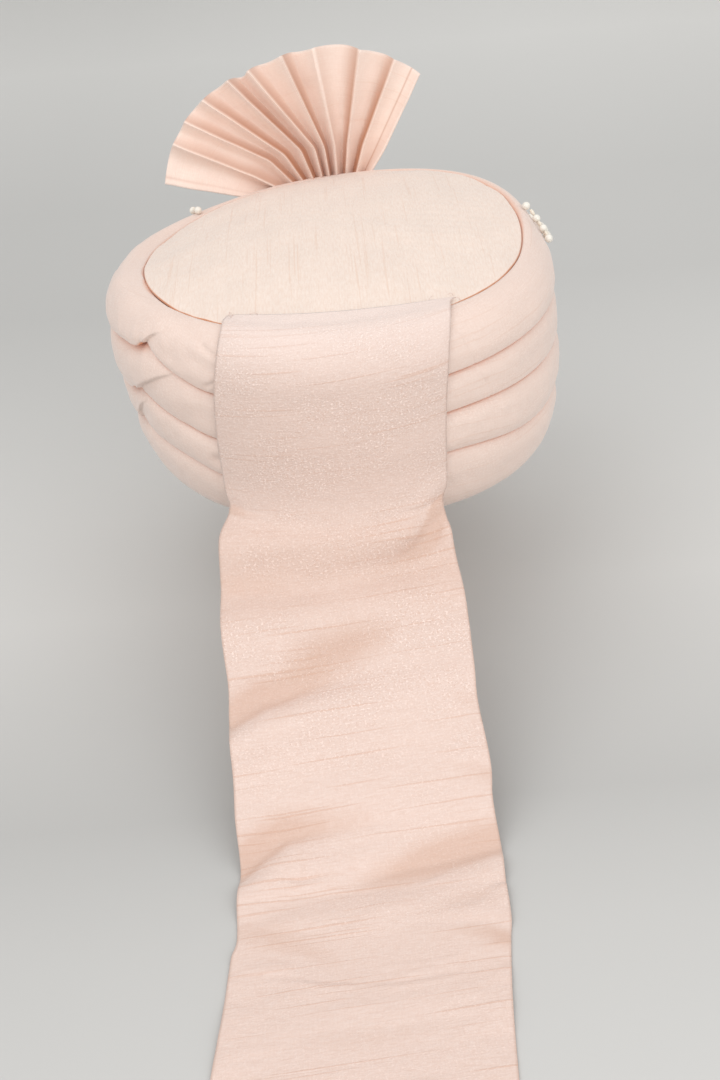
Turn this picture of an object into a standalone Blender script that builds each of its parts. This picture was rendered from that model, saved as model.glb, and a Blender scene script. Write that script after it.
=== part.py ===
"""Tied turban: a hollow cap, four padded wraps, a long tail, a pleated fan and a string of pearls.

Metres. The origin is the centre of the head opening, on the plane of its rim. +X is the wearer's
right, +Y is the way the wearer faces and +Z is up. Azimuths turn from +X towards +Y.
"""

import math

import bmesh
import bpy
from mathutils import Vector

# Head opening and cap
HEAD_WIDTH = 0.162
HEAD_LENGTH = 0.200
CAP_WALL = 0.002
CAP_HEIGHT = 0.108
CROWN_RISE = 0.0134
CROWN_POWER = 2.2
OVAL_POWER = 2.15
SEAT_GAP = 0.0003

# Padded wraps
WRAP_BULK = 0.042
TOP_ROUND = 0.020
RIM_ROUND = 0.0155
WIDEST_LOW = 0.495
WIDEST_HIGH = 0.773
WRAP_LIP = 0.0012
HUMP_POWER = 4.0
GROOVE_UPPER = 0.0045
GROOVE_LOWER = 0.0020
TUCK_DEPTH = 0.0045
TUCK_WIDTH = 4.5
TUCK_SLANT = 9.0

# Tail
TAIL_WIDTH = 0.1235
TAIL_THICKNESS = 0.0015
TAIL_LIFT = 0.0008
TAIL_HEM = 0.0095
TAIL_HEM_BOW = 0.0110
TAIL_LEAVE = 0.012
TAIL_RUN = 0.165
TAIL_FALL = 0.110
TAIL_LYING = 0.116
TAIL_FALL_POWER = 1.4
TAIL_FOLD_DEPTH = 0.0035

# Fan
FAN_REACH = 0.104
FAN_FOOT_WIDTH = 0.036
FAN_FOOT_DEPTH = 0.0080
FAN_FOOT_SINK = 0.017
FAN_FOOT_CLOTH = 0.0040
FAN_CLOTH = 0.0014
FAN_PLEAT_DEPTH = 0.0100
FAN_KINK = 0.36
FAN_VALLEY_REACH = 0.975
FAN_VALLEY_PLACE = 0.62
FAN_SLOT_END = 0.45
PLEAT_ANGLE = 20.0

# Pearls
PEARL_SIZE = 0.0046
PEARL_PITCH = 0.0088
THREAD_SIZE = 0.0010

# How finely the round forms are divided
STATIONS = 48
WRAP_STEPS = 6
CROWN_RINGS = 4
TAIL_COLUMNS = 8
ROUND_STEPS = 6
SIDE_STEPS = 8
FALL_STEPS = 14
LYING_STEPS = 6
CROWN_STEPS = 2
PEARL_SIDES = 10
ROUTE_STEPS = 24
PROBE = 0.01

# Where the crown's edge and the three lines between the wraps run, as shares of CAP_HEIGHT
WRAP_LINES = [
    # azimuth, crown_edge, line_1, line_2, line_3
    (0, 1.040, 0.760, 0.525, 0.290),
    (45, 1.055, 0.760, 0.530, 0.295),
    (90, 0.990, 0.740, 0.530, 0.300),
    (140, 0.920, 0.715, 0.525, 0.290),
    (165, 0.935, 0.740, 0.525, 0.285),
    (190, 0.985, 0.765, 0.530, 0.285),
    (208, 1.000, 0.785, 0.528, 0.285),
    (219, 1.000, 0.832, 0.520, 0.292),
    (229, 1.000, 0.782, 0.498, 0.296),
    (241, 1.000, 0.710, 0.462, 0.250),
    (262, 1.000, 0.705, 0.485, 0.275),
    (291, 1.000, 0.740, 0.552, 0.345),
    (315, 1.000, 0.760, 0.545, 0.295),
    (340, 1.010, 0.760, 0.525, 0.287),
]

# How much fuller or thinner the padding is than the plain oval, as shares of WRAP_BULK at the
# top, at two heights between and at the rim, and how far the top wrap stands above the crown's
# edge, as a share of TOP_ROUND
FULLNESS = [
    # azimuth, rim, lower, upper, top, hump
    (0, 0.03, 0.01, -0.03, -0.07, -0.12),
    (30, 0.00, 0.00, -0.03, -0.09, -0.18),
    (60, 0.00, 0.00, -0.02, -0.05, -0.10),
    (90, 0.00, 0.00, 0.00, 0.00, 0.00),
    (120, 0.00, 0.00, 0.02, 0.02, 0.01),
    (150, 0.00, 0.00, 0.05, 0.10, 0.17),
    (175, -0.01, 0.02, 0.10, 0.14, 0.20),
    (200, -0.05, -0.02, 0.10, 0.10, 0.10),
    (218, -0.08, -0.05, 0.05, 0.06, 0.04),
    (238, -0.08, -0.06, 0.00, 0.00, 0.00),
    (262, -0.03, -0.02, 0.00, 0.00, 0.00),
    (290, 0.03, 0.02, 0.00, 0.00, 0.00),
    (315, 0.08, 0.05, 0.00, -0.01, 0.00),
    (340, 0.08, 0.03, -0.01, -0.04, -0.06),
]
FULLNESS_HEIGHTS = [0.0, 0.33, 0.66, 1.0]

# Slanting tucks at the left of the back, one on each of the three upper wraps
TUCKS = [
    # wrap, azimuth, depth as a share of TUCK_DEPTH
    (0, 221.0, 1.00),
    (1, 212.0, 0.85),
    (2, 209.0, 0.65),
]
TUCK_ZONE = (195.0, 240.0)

# Tail widths and sideways shifts as shares of TAIL_WIDTH: travel is 0 at the hem on the crown,
# 1 where the cloth leaves the rim, 2 where it meets the lying level and 3 at its end
HEM_TRAVEL = 0.20
SIDE_TRAVEL = 0.45
FLAT_TRAVEL = 0.30
TAIL_LINE = [
    # travel, width, shift
    (0.00, 0.933, 0.017),
    (0.25, 0.925, -0.011),
    (0.45, 0.933, -0.050),
    (0.65, 0.933, -0.068),
    (0.92, 0.918, -0.072),
    (1.00, 0.895, -0.077),
    (1.08, 0.960, -0.084),
    (1.20, 1.000, -0.084),
    (1.60, 1.000, -0.066),
    (2.00, 1.000, -0.058),
    (2.40, 0.995, -0.085),
    (3.00, 1.015, -0.142),
]

# Soft cross folds of the tail: a negative depth is a valley
TAIL_FOLDS = [
    # travel, depth as a share of TAIL_FOLD_DEPTH, half length in travel, slant in travel
    (1.16, -0.80, 0.060, 0.050),
    (1.30, 0.70, 0.080, 0.020),
    (1.62, -0.90, 0.070, 0.060),
    (1.78, 0.60, 0.070, 0.030),
    (2.12, 0.90, 0.160, 0.060),
    (2.62, 0.60, 0.160, -0.040),
]

# Ridge folds of the fan, from the wearer's left to the right
FAN_FOLDS = [
    # tip_angle from upright, reach as a share of FAN_REACH, share of the angle below the kink
    (-79.5, 1.000, 1.00),
    (-65.0, 0.995, 0.90),
    (-56.0, 0.985, 0.72),
    (-46.0, 0.965, 0.65),
    (-34.7, 0.940, 0.53),
    (-26.5, 0.915, 0.36),
    (-13.0, 0.912, 0.42),
    (-0.5, 0.915, 0.40),
    (16.5, 0.920, 0.45),
    (30.0, 0.928, 0.60),
    (40.5, 0.935, 0.86),
]
FAN_ROWS = [0.0, 0.18, 0.36, 0.68, 1.0]

# Route of the pearl string over the top wrap: azimuth, and height as a share of the wrap
PEARL_ROUTE = [
    (8, 0.985),
    (5, 0.86),
    (1, 0.72),
    (-2.5, 0.58),
    (10, 0.46),
    (50, 0.38),
    (90, 0.36),
    (115, 0.38),
    (124, 0.56),
    (129, 0.8),
    (131, 0.985),
]

# Sizes that follow from the driving sizes
HALF_WIDTH = HEAD_WIDTH / 2 + CAP_WALL + SEAT_GAP + WRAP_BULK
HALF_LENGTH = HEAD_LENGTH / 2 + CAP_WALL + SEAT_GAP + WRAP_BULK
CROWN_HALF_WIDTH = HALF_WIDTH - TOP_ROUND
CROWN_HALF_LENGTH = HALF_LENGTH - TOP_ROUND
WRAPS = 4
FAN_PLANE = CROWN_HALF_LENGTH + SEAT_GAP + FAN_FOOT_DEPTH / 2
FAN_FOOT_HEIGHT = CAP_HEIGHT - FAN_FOOT_SINK

COLOURS = {
    "roll": (0.87, 0.73, 0.66),
    "crown": (0.86, 0.72, 0.62),
    "tail": (0.82, 0.65, 0.58),
    "fan": (0.86, 0.66, 0.55),
    "pearl": (0.93, 0.88, 0.80),
}


def clear_scene():
    for obj in list(bpy.data.objects):
        bpy.data.objects.remove(obj, do_unlink=True)


def make_material(name, colour, roughness):
    material = bpy.data.materials.new(name)
    material.use_nodes = True
    shader = material.node_tree.nodes["Principled BSDF"]
    shader.inputs["Base Color"].default_value = (*colour, 1.0)
    shader.inputs["Roughness"].default_value = roughness
    shader.inputs["Metallic"].default_value = 0.0
    return material


def add_object(name, bm, collection, material=None, closed=True):
    if closed:
        bmesh.ops.recalc_face_normals(bm, faces=bm.faces)
    mesh = bpy.data.meshes.new(name)
    bm.to_mesh(mesh)
    bm.free()
    obj = bpy.data.objects.new(name, mesh)
    if material:
        mesh.materials.append(material)
    collection.objects.link(obj)
    return obj


def shade(obj, angle=40.0):
    obj.data.shade_smooth()
    obj.data.set_sharp_from_angle(angle=math.radians(angle))


def smooth_table(rows, column, place, period=None):
    """Value of a table's column at a place, on a smooth curve through the rows."""
    knots = [(row[0], row[column]) for row in rows]
    if period:
        place = place % period
        before = [(knot[0] - period, knot[1]) for knot in knots[-2:]]
        after = [(knot[0] + period, knot[1]) for knot in knots[:2]]
        knots = before + knots + after
    place = min(max(place, knots[0][0]), knots[-1][0])
    k = 0
    while k < len(knots) - 2 and place > knots[k + 1][0]:
        k += 1

    def slope(i):
        before = knots[max(i - 1, 0)]
        after = knots[min(i + 1, len(knots) - 1)]
        return (after[1] - before[1]) / (after[0] - before[0])

    span = knots[k + 1][0] - knots[k][0]
    t = (place - knots[k][0]) / span
    start = (2 * t ** 3 - 3 * t ** 2 + 1) * knots[k][1] + (t ** 3 - 2 * t ** 2 + t) * span * slope(k)
    end = (3 * t ** 2 - 2 * t ** 3) * knots[k + 1][1] + (t ** 3 - t ** 2) * span * slope(k + 1)
    return start + end


def around(rows, column, azimuth):
    """Value of a table's column at an azimuth, for tables that run right round the turban."""
    return smooth_table(rows, column, azimuth, period=360.0)


def oval_radius(azimuth, half_width, half_length):
    across = abs(math.cos(math.radians(azimuth))) / half_width
    along = abs(math.sin(math.radians(azimuth))) / half_length
    return (across ** OVAL_POWER + along ** OVAL_POWER) ** (-1 / OVAL_POWER)


def oval_back(x, half_width, half_length):
    """How far behind the origin an oval lies at the sideways place x."""
    share = min(abs(x) / half_width, 1.0)
    return -half_length * (1 - share ** OVAL_POWER) ** (1 / OVAL_POWER)


def at(azimuth, radius, z):
    angle = math.radians(azimuth)
    return Vector((radius * math.cos(angle), radius * math.sin(angle), z))


def line_height(line, azimuth):
    """Height of the crown's edge (line 0), a line between two wraps (1 to 3) or the rim (4)."""
    if line == WRAPS:
        return 0.0
    return CAP_HEIGHT * around(WRAP_LINES, line + 1, azimuth)


def station_azimuths():
    """Even steps round the turban, halved where the tucks are."""
    step = 360.0 / STATIONS
    azimuths = []
    for index in range(STATIONS):
        azimuth = index * step
        azimuths.append(azimuth)
        if TUCK_ZONE[0] <= azimuth < TUCK_ZONE[1]:
            azimuths.append(azimuth + step / 2)
    return azimuths


def cap_half_sizes(z, azimuth):
    """Half width and half length of the cap's flared wall at a height."""
    share = z / line_height(0, azimuth)
    half_width = HEAD_WIDTH / 2 + CAP_WALL
    half_length = HEAD_LENGTH / 2 + CAP_WALL
    return (
        half_width + (CROWN_HALF_WIDTH - half_width) * share,
        half_length + (CROWN_HALF_LENGTH - half_length) * share,
    )


def crown_height(share, azimuth):
    """Height of the crown panel at a share of the way from its centre to its edge."""
    edge = CAP_HEIGHT + (line_height(0, azimuth) - CAP_HEIGHT) * share ** 2
    return edge + CROWN_RISE * (1 - share ** CROWN_POWER)


def padding(z, azimuth):
    """Extra thickness of the wraps, beyond the plain oval, at a height."""
    share = min(max(z / line_height(0, azimuth), 0.0), 1.0)
    rows = [
        (height, around(FULLNESS, column + 1, azimuth))
        for column, height in enumerate(FULLNESS_HEIGHTS)
    ]
    return WRAP_BULK * smooth_table(rows, 1, share)


def skin_inset(z, azimuth):
    """How far the outside of the wraps lies inside their widest oval at a height."""
    top = line_height(0, azimuth)
    low = WIDEST_LOW * CAP_HEIGHT
    high = WIDEST_HIGH * top
    extra = padding(z, azimuth)
    if z > high:
        rise = min((z - high) / (top - high), 1.0)
        return (TOP_ROUND - WRAP_LIP - SEAT_GAP + extra) * (1 - math.sqrt(1 - rise ** 2)) - extra
    if z < low:
        drop = min((low - z) / low, 1.0)
        return RIM_ROUND * (1 - math.sqrt(1 - drop ** 2)) - extra
    return -extra


def wrap_relief(wrap, share, azimuth):
    """Depth of the grooves along a wrap's two edges and of its tuck."""
    depth = 0.0
    if wrap > 0:
        depth += GROOVE_UPPER * max(0.0, 2 * share - 1) ** 3
    if wrap < WRAPS - 1:
        depth += GROOVE_LOWER * max(0.0, 1 - 2 * share) ** 3
    for row_wrap, row_azimuth, row_depth in TUCKS:
        if row_wrap == wrap:
            away = (azimuth - row_azimuth - TUCK_SLANT * share) / TUCK_WIDTH
            depth += TUCK_DEPTH * row_depth * math.exp(-away ** 2) * math.sin(math.pi * share) ** 0.5
    return depth


def wrap_span(wrap, azimuth):
    low = line_height(wrap + 1, azimuth)
    high = line_height(wrap, azimuth)
    if wrap < WRAPS - 1:
        low += SEAT_GAP / 2
    if wrap > 0:
        high -= SEAT_GAP / 2
    return low, high


def wrap_surface(wrap, share, azimuth):
    """Radius and height of a point on a wrap's outside."""
    low, high = wrap_span(wrap, azimuth)
    z = low + (high - low) * share
    inset = skin_inset(z, azimuth) + wrap_relief(wrap, share, azimuth)
    if wrap == 0:
        hump = TOP_ROUND * around(FULLNESS, 5, azimuth)
        z += hump * math.sin(math.pi * share ** HUMP_POWER)
    return oval_radius(azimuth, HALF_WIDTH - inset, HALF_LENGTH - inset), z


def wrap_section(wrap, azimuth):
    """Closed outline of a padded wrap in the upright plane at an azimuth."""
    low, high = wrap_span(wrap, azimuth)
    points = []
    for step in range(WRAP_STEPS + 1):
        share = (1 - math.cos(math.pi * step / WRAP_STEPS)) / 2
        points.append(wrap_surface(wrap, share, azimuth))
    for z in (high, low):
        half_width, half_length = cap_half_sizes(z, azimuth)
        points.append((oval_radius(azimuth, half_width + SEAT_GAP, half_length + SEAT_GAP), z))
    return points


def loft_ring(bm, sections):
    """Skin closed outlines that follow one another round a closed ring."""
    rings = [[bm.verts.new(point) for point in section] for section in sections]
    for ring, following in zip(rings, rings[1:] + rings[:1]):
        for k in range(len(ring)):
            after = (k + 1) % len(ring)
            bm.faces.new((ring[k], following[k], following[after], ring[after]))


def skin_grid(bm, rows):
    """Skin rows of points as one open sheet."""
    grid = [[bm.verts.new(point) for point in row] for row in rows]
    for row, following in zip(grid, grid[1:]):
        for k in range(len(row) - 1):
            bm.faces.new((row[k], following[k], following[k + 1], row[k + 1]))
    return grid


def build_cap(collection):
    azimuths = station_azimuths()
    bm = bmesh.new()
    rings = []
    for z_share in (0.0, 1.0):
        ring = []
        for azimuth in azimuths:
            z = line_height(0, azimuth) * z_share
            ring.append(bm.verts.new(at(azimuth, oval_radius(azimuth, *cap_half_sizes(z, azimuth)), z)))
        rings.append(ring)
    for k in range(1, CROWN_RINGS + 1):
        share = 1 - k / (CROWN_RINGS + 1)
        ring = []
        for azimuth in azimuths:
            radius = share * oval_radius(azimuth, CROWN_HALF_WIDTH, CROWN_HALF_LENGTH)
            ring.append(bm.verts.new(at(azimuth, radius, crown_height(share, azimuth))))
        rings.append(ring)
    for ring, following in zip(rings, rings[1:]):
        for k in range(len(ring)):
            after = (k + 1) % len(ring)
            bm.faces.new((ring[k], ring[after], following[after], following[k]))
    centre = bm.verts.new((0.0, 0.0, crown_height(0.0, 0.0)))
    for k in range(len(rings[-1])):
        after = (k + 1) % len(rings[-1])
        bm.faces.new((rings[-1][k], rings[-1][after], centre))
    cap = add_object("cap", bm, collection, make_material("crown silk", COLOURS["crown"], 0.6))
    wall = cap.modifiers.new("wall", "SOLIDIFY")
    wall.thickness = CAP_WALL
    wall.offset = -1.0
    wall.use_even_offset = True
    shade(cap)


def build_wrap(wrap, collection, material):
    bm = bmesh.new()
    sections = []
    for azimuth in station_azimuths():
        sections.append([at(azimuth, radius, z) for radius, z in wrap_section(wrap, azimuth)])
    loft_ring(bm, sections)
    obj = add_object(f"roll_{wrap + 1}", bm, collection, material)
    shade(obj)
    return obj


def tail_fold(travel, across):
    """Rise or dip of the tail's soft cross folds, none where the cloth lies on the wraps."""
    height = 0.0
    for place, depth, length, slant in TAIL_FOLDS:
        away = (travel - place - slant * across) / length
        height += TAIL_FOLD_DEPTH * depth * math.exp(-away ** 2)
    return height


def tail_stages():
    """Stage, share of the stage and travel of each row across the tail."""
    stages = [("crown", k / CROWN_STEPS, HEM_TRAVEL * k / CROWN_STEPS) for k in range(CROWN_STEPS)]
    for k in range(ROUND_STEPS + 1):
        share = k / ROUND_STEPS
        stages.append(("round", 1 - share, HEM_TRAVEL + (SIDE_TRAVEL - HEM_TRAVEL) * share))
    for k in range(1, SIDE_STEPS + 1):
        share = k / SIDE_STEPS
        stages.append(("side", share, SIDE_TRAVEL + (1 - SIDE_TRAVEL) * share))
    for k in range(1, FALL_STEPS + 1):
        stages.append(("fall", k / FALL_STEPS, 1 + k / FALL_STEPS))
    for k in range(1, LYING_STEPS + 1):
        stages.append(("lying", k / LYING_STEPS, 2 + k / LYING_STEPS))
    return stages


def tail_rows():
    """Rows across the underside of the tail, from the hem on the crown to the far end."""
    rows = []
    for stage, share, travel in tail_stages():
        half_width = TAIL_WIDTH * smooth_table(TAIL_LINE, 1, travel) / 2
        shift = TAIL_WIDTH * smooth_table(TAIL_LINE, 2, travel)
        row = []
        for column in range(TAIL_COLUMNS + 1):
            across = 2 * column / TAIL_COLUMNS - 1
            row.append(tail_point(stage, share, travel, shift + across * half_width, across))
        rows.append(row)
    return rows


def skin_back(x, z, lift):
    """How far behind the origin the outside of the wraps lies at a sideways place and height."""
    azimuth = 270.0
    for _ in range(4):
        inset = skin_inset(z, azimuth) - lift
        y = oval_back(x, HALF_WIDTH - inset, HALF_LENGTH - inset)
        azimuth = math.degrees(math.atan2(y, x)) % 360.0
    return y


def tail_point(stage, share, travel, x, across):
    if stage == "crown":
        edge = oval_back(x, CROWN_HALF_WIDTH, CROWN_HALF_LENGTH)
        hem = -CROWN_HALF_LENGTH + TAIL_HEM + TAIL_HEM_BOW * across ** 2
        y = min(hem + (edge - hem) * share, hem)
        azimuth = math.degrees(math.atan2(y, x))
        reach = math.hypot(x, y) / oval_radius(azimuth, CROWN_HALF_WIDTH, CROWN_HALF_LENGTH)
        return Vector((x, y, crown_height(min(reach, 1.0), azimuth) + TAIL_LIFT))
    if stage == "round":
        turn = share * math.pi / 2
        high = WIDEST_HIGH * CAP_HEIGHT
        z = high + (CAP_HEIGHT - high) * math.sin(turn)
        return Vector((x, skin_back(x, z, TAIL_LIFT * math.cos(turn)), z + TAIL_LIFT * math.sin(turn)))
    if stage == "side":
        z = WIDEST_HIGH * CAP_HEIGHT + (TAIL_LEAVE - WIDEST_HIGH * CAP_HEIGHT) * share
        return Vector((x, skin_back(x, z, TAIL_LIFT), z))
    leave = skin_back(0.0, TAIL_LEAVE, TAIL_LIFT)
    bowed = skin_back(x, TAIL_LEAVE, TAIL_LIFT)
    flatten = min((travel - 1) / FLAT_TRAVEL, 1.0)
    start = leave + (bowed - leave) * (1 - flatten) ** 2
    if stage == "fall":
        y = start - TAIL_RUN * share
        z = TAIL_LEAVE - TAIL_FALL * (1 - (1 - share) ** TAIL_FALL_POWER)
    else:
        y = start - TAIL_RUN - TAIL_LYING * share
        z = TAIL_LEAVE - TAIL_FALL
    return Vector((x, y, z + tail_fold(travel, across)))


def build_tail(collection):
    bm = bmesh.new()
    skin_grid(bm, tail_rows())
    silk = make_material("tail silk", COLOURS["tail"], 0.55)
    tail = add_object("tail", bm, collection, silk, closed=False)
    cloth = tail.modifiers.new("cloth", "SOLIDIFY")
    cloth.thickness = TAIL_THICKNESS
    cloth.offset = 1.0
    cloth.use_even_offset = True
    shade(tail)


def fan_fold_point(tip_angle, reach, turn_share, root, row):
    """Point on one fold: it leaves the foot steeply, kinks and then spreads to its tip."""
    kink_angle = math.radians(tip_angle * turn_share)
    kink = Vector((root, FAN_FOOT_HEIGHT)) + FAN_KINK * reach * Vector(
        (math.sin(kink_angle), math.cos(kink_angle))
    )
    tip_turn = math.radians(tip_angle)
    tip = Vector((0.0, FAN_FOOT_HEIGHT)) + reach * Vector((math.sin(tip_turn), math.cos(tip_turn)))
    if row <= FAN_KINK:
        return Vector((root, FAN_FOOT_HEIGHT)).lerp(kink, row / FAN_KINK)
    return kink.lerp(tip, (row - FAN_KINK) / (1 - FAN_KINK))


def fan_columns():
    """Ridges and the valleys between them: tip angle, reach, turn share, foot place and side."""
    columns = []
    last = len(FAN_FOLDS) - 1
    for index, (angle, reach, turn) in enumerate(FAN_FOLDS):
        place = index / last
        columns.append((angle, reach, turn, place, -1.0))
        if index < last:
            following = FAN_FOLDS[index + 1]
            mix = FAN_VALLEY_PLACE
            columns.append((
                angle + (following[0] - angle) * mix,
                FAN_VALLEY_REACH * (reach + (following[1] - reach) * mix),
                turn + (following[2] - turn) * mix,
                (index + mix) / last,
                1.0,
            ))
    return columns


def border(grid):
    """Vertices round the edge of a grid, in order."""
    right = [row[-1] for row in grid[1:-1]]
    left = [row[0] for row in grid[1:-1]]
    return grid[0] + right + grid[-1][::-1] + left[::-1]


def build_fan(collection):
    """Accordion of pleats, thick and close at its foot and open at its rim."""
    foot_depth = FAN_FOOT_DEPTH - FAN_FOOT_CLOTH
    back_rows, front_rows = [], []
    for row in FAN_ROWS:
        depth = foot_depth + (FAN_PLEAT_DEPTH - foot_depth) * row
        cloth = FAN_FOOT_CLOTH + (FAN_CLOTH - FAN_FOOT_CLOTH) * min(row / FAN_KINK, 1.0)
        back, front = [], []
        for angle, reach, turn, place, side in fan_columns():
            root = FAN_FOOT_WIDTH * (place - 0.5)
            x, z = fan_fold_point(angle, reach * FAN_REACH, turn, root, row)
            y = FAN_PLANE + side * depth / 2
            back.append(Vector((x, y - cloth / 2, z)))
            front.append(Vector((x, y + cloth / 2, z)))
        back_rows.append(back)
        front_rows.append(front)
    bm = bmesh.new()
    back_edge = border(skin_grid(bm, back_rows))
    front_edge = border(skin_grid(bm, front_rows))
    for k in range(len(back_edge)):
        after = (k + 1) % len(back_edge)
        bm.faces.new((back_edge[k], back_edge[after], front_edge[after], front_edge[k]))
    fan = add_object("fan", bm, collection, make_material("fan silk", COLOURS["fan"], 0.55))
    shade(fan, PLEAT_ANGLE)


def cut_fan_slot(roll, cutters):
    """Opening at the joint of the crown and the top wrap, where the fan's foot goes down."""
    first, last = FAN_FOLDS[0], FAN_FOLDS[-1]
    half_foot = FAN_FOOT_WIDTH / 2
    clear = 2 * SEAT_GAP
    left = fan_fold_point(first[0], first[1] * FAN_REACH, first[2], -half_foot, FAN_SLOT_END)
    right = fan_fold_point(last[0], last[1] * FAN_REACH, last[2], half_foot, FAN_KINK)
    above = CAP_HEIGHT + CROWN_RISE
    outline = [
        (-half_foot - clear, FAN_FOOT_HEIGHT - SEAT_GAP),
        (half_foot + clear, FAN_FOOT_HEIGHT - SEAT_GAP),
        (right.x + clear, right.y),
        (right.x + clear, above),
        (left.x - clear, above),
        (left.x - clear, left.y - 2 * clear),
    ]
    near = FAN_PLANE - FAN_FOOT_DEPTH / 2 - clear
    far = FAN_PLANE + FAN_FOOT_DEPTH / 2 + clear
    bm = bmesh.new()
    loops = []
    for y in (near, far):
        loops.append([bm.verts.new((x, y, z)) for x, z in outline])
    bm.faces.new(loops[0])
    bm.faces.new(loops[1])
    for k in range(len(outline)):
        after = (k + 1) % len(outline)
        bm.faces.new((loops[0][k], loops[0][after], loops[1][after], loops[1][k]))
    cutter = add_object("fan_slot", bm, cutters)
    cutter.hide_render = True
    cutter.display_type = "WIRE"
    cut = roll.modifiers.new("fan slot", "BOOLEAN")
    cut.operation = "DIFFERENCE"
    cut.object = cutter


def pearl_path(offset):
    """Close points along the pearl string, standing off the top wrap by the offset."""
    rows = [(place, azimuth, share) for place, (azimuth, share) in enumerate(PEARL_ROUTE)]
    points = []
    for k in range((len(PEARL_ROUTE) - 1) * ROUTE_STEPS + 1):
        azimuth = smooth_table(rows, 1, k / ROUTE_STEPS)
        share = smooth_table(rows, 2, k / ROUTE_STEPS)
        radius, z = wrap_surface(0, share, azimuth)
        upper = Vector(wrap_surface(0, min(share + PROBE, 1.0), azimuth))
        lower = Vector(wrap_surface(0, share - PROBE, azimuth))
        rise = (upper - lower).normalized()
        points.append(at(azimuth, radius + offset * rise.y, z - offset * rise.x))
    return points


def even_points(points, pitch):
    """Points a whole number of times along a path, about a pitch apart."""
    lengths = [0.0]
    for a, b in zip(points, points[1:]):
        lengths.append(lengths[-1] + (b - a).length)
    count = round(lengths[-1] / pitch)
    placed = []
    k = 0
    for index in range(count + 1):
        want = lengths[-1] * index / count
        while k < len(lengths) - 2 and lengths[k + 1] < want:
            k += 1
        share = (want - lengths[k]) / (lengths[k + 1] - lengths[k])
        placed.append(points[k].lerp(points[k + 1], share))
    return placed


def build_pearls(collection):
    """Beads and thread as one swept round: the sweep swells from the thread to each bead."""
    path = pearl_path(PEARL_SIZE / 2 + 2 * SEAT_GAP)
    places = even_points(path, PEARL_PITCH)
    curve = bpy.data.curves.new("pearls", "CURVE")
    curve.dimensions = "3D"
    curve.bevel_depth = PEARL_SIZE / 2
    curve.bevel_resolution = PEARL_SIDES // 2 - 2
    curve.use_fill_caps = True
    neck = THREAD_SIZE / PEARL_SIZE
    end = math.sqrt(1 - neck ** 2)
    slope = math.sqrt(0.5)
    profile = [(-end, neck), (-slope, slope), (0.0, 1.0), (slope, slope), (end, neck)]
    rings = []
    for index, place in enumerate(places):
        before = places[max(index - 1, 0)]
        after = places[min(index + 1, len(places) - 1)]
        along = (after - before).normalized() * PEARL_SIZE / 2
        for share, swell in profile:
            rings.append((place + along * share, swell))
    spline = curve.splines.new("POLY")
    spline.points.add(len(rings) - 1)
    for point, (place, swell) in zip(spline.points, rings):
        point.co = (*place, 1.0)
        point.radius = swell
    curve.materials.append(make_material("pearl", COLOURS["pearl"], 0.3))
    pearls = bpy.data.objects.new("pearls", curve)
    collection.objects.link(pearls)


def build_turban():
    clear_scene()
    turban = bpy.data.collections.new("tied_turban")
    cutters = bpy.data.collections.new("cutters")
    for collection in (turban, cutters):
        bpy.context.scene.collection.children.link(collection)
    build_cap(turban)
    silk = make_material("wrap silk", COLOURS["roll"], 0.6)
    rolls = [build_wrap(wrap, turban, silk) for wrap in range(WRAPS)]
    cut_fan_slot(rolls[0], cutters)
    build_tail(turban)
    build_fan(turban)
    build_pearls(turban)


build_turban()
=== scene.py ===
"""Looks of the tied turban: padded silk wraps, slub crown, pleated fan, draped tail and pearls."""
import math

import bmesh
import bpy
import numpy as np
from mathutils import Matrix, Vector


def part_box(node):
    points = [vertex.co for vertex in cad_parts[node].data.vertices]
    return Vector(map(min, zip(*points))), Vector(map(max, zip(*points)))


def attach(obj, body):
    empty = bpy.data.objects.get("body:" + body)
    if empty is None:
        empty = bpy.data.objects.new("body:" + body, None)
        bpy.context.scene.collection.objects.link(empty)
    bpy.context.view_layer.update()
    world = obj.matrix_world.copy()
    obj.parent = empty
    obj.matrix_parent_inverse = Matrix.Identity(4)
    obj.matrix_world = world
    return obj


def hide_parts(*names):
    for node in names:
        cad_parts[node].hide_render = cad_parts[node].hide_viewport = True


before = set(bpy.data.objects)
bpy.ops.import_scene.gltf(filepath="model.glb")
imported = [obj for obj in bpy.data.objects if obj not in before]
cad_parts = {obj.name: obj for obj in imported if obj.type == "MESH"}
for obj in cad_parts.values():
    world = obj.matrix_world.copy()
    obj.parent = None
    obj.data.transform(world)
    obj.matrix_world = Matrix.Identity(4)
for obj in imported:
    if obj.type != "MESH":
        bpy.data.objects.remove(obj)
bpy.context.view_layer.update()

# Sizes in metres, shares and powers that the looks have in common with the solids
HEAD_WIDTH = 0.162
HEAD_LENGTH = 0.200
CAP_WALL = 0.002
CAP_HEIGHT = 0.108
CROWN_RISE = 0.0134
CROWN_POWER = 2.2
OVAL_POWER = 2.15
WRAP_BULK = 0.042
TOP_ROUND = 0.020
RIM_ROUND = 0.0155
WIDEST_LOW = 0.495
WIDEST_HIGH = 0.773
HUMP_POWER = 4.0
WRAPS = 4
TAIL_WIDTH = 0.1235
TAIL_HEM = 0.0095
TAIL_HEM_BOW = 0.0110
TAIL_LEAVE = 0.012
TAIL_RUN = 0.165
TAIL_FALL = 0.110
TAIL_LYING = 0.116
TAIL_FALL_POWER = 1.4
FAN_REACH = 0.104
FAN_FOOT_WIDTH = 0.036
FAN_FOOT_DEPTH = 0.0080
FAN_KINK = 0.36
PEARL_SIZE = 0.0046
PEARL_PITCH = 0.0088
HALF_WIDTH = HEAD_WIDTH / 2 + CAP_WALL + WRAP_BULK
HALF_LENGTH = HEAD_LENGTH / 2 + CAP_WALL + WRAP_BULK
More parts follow.
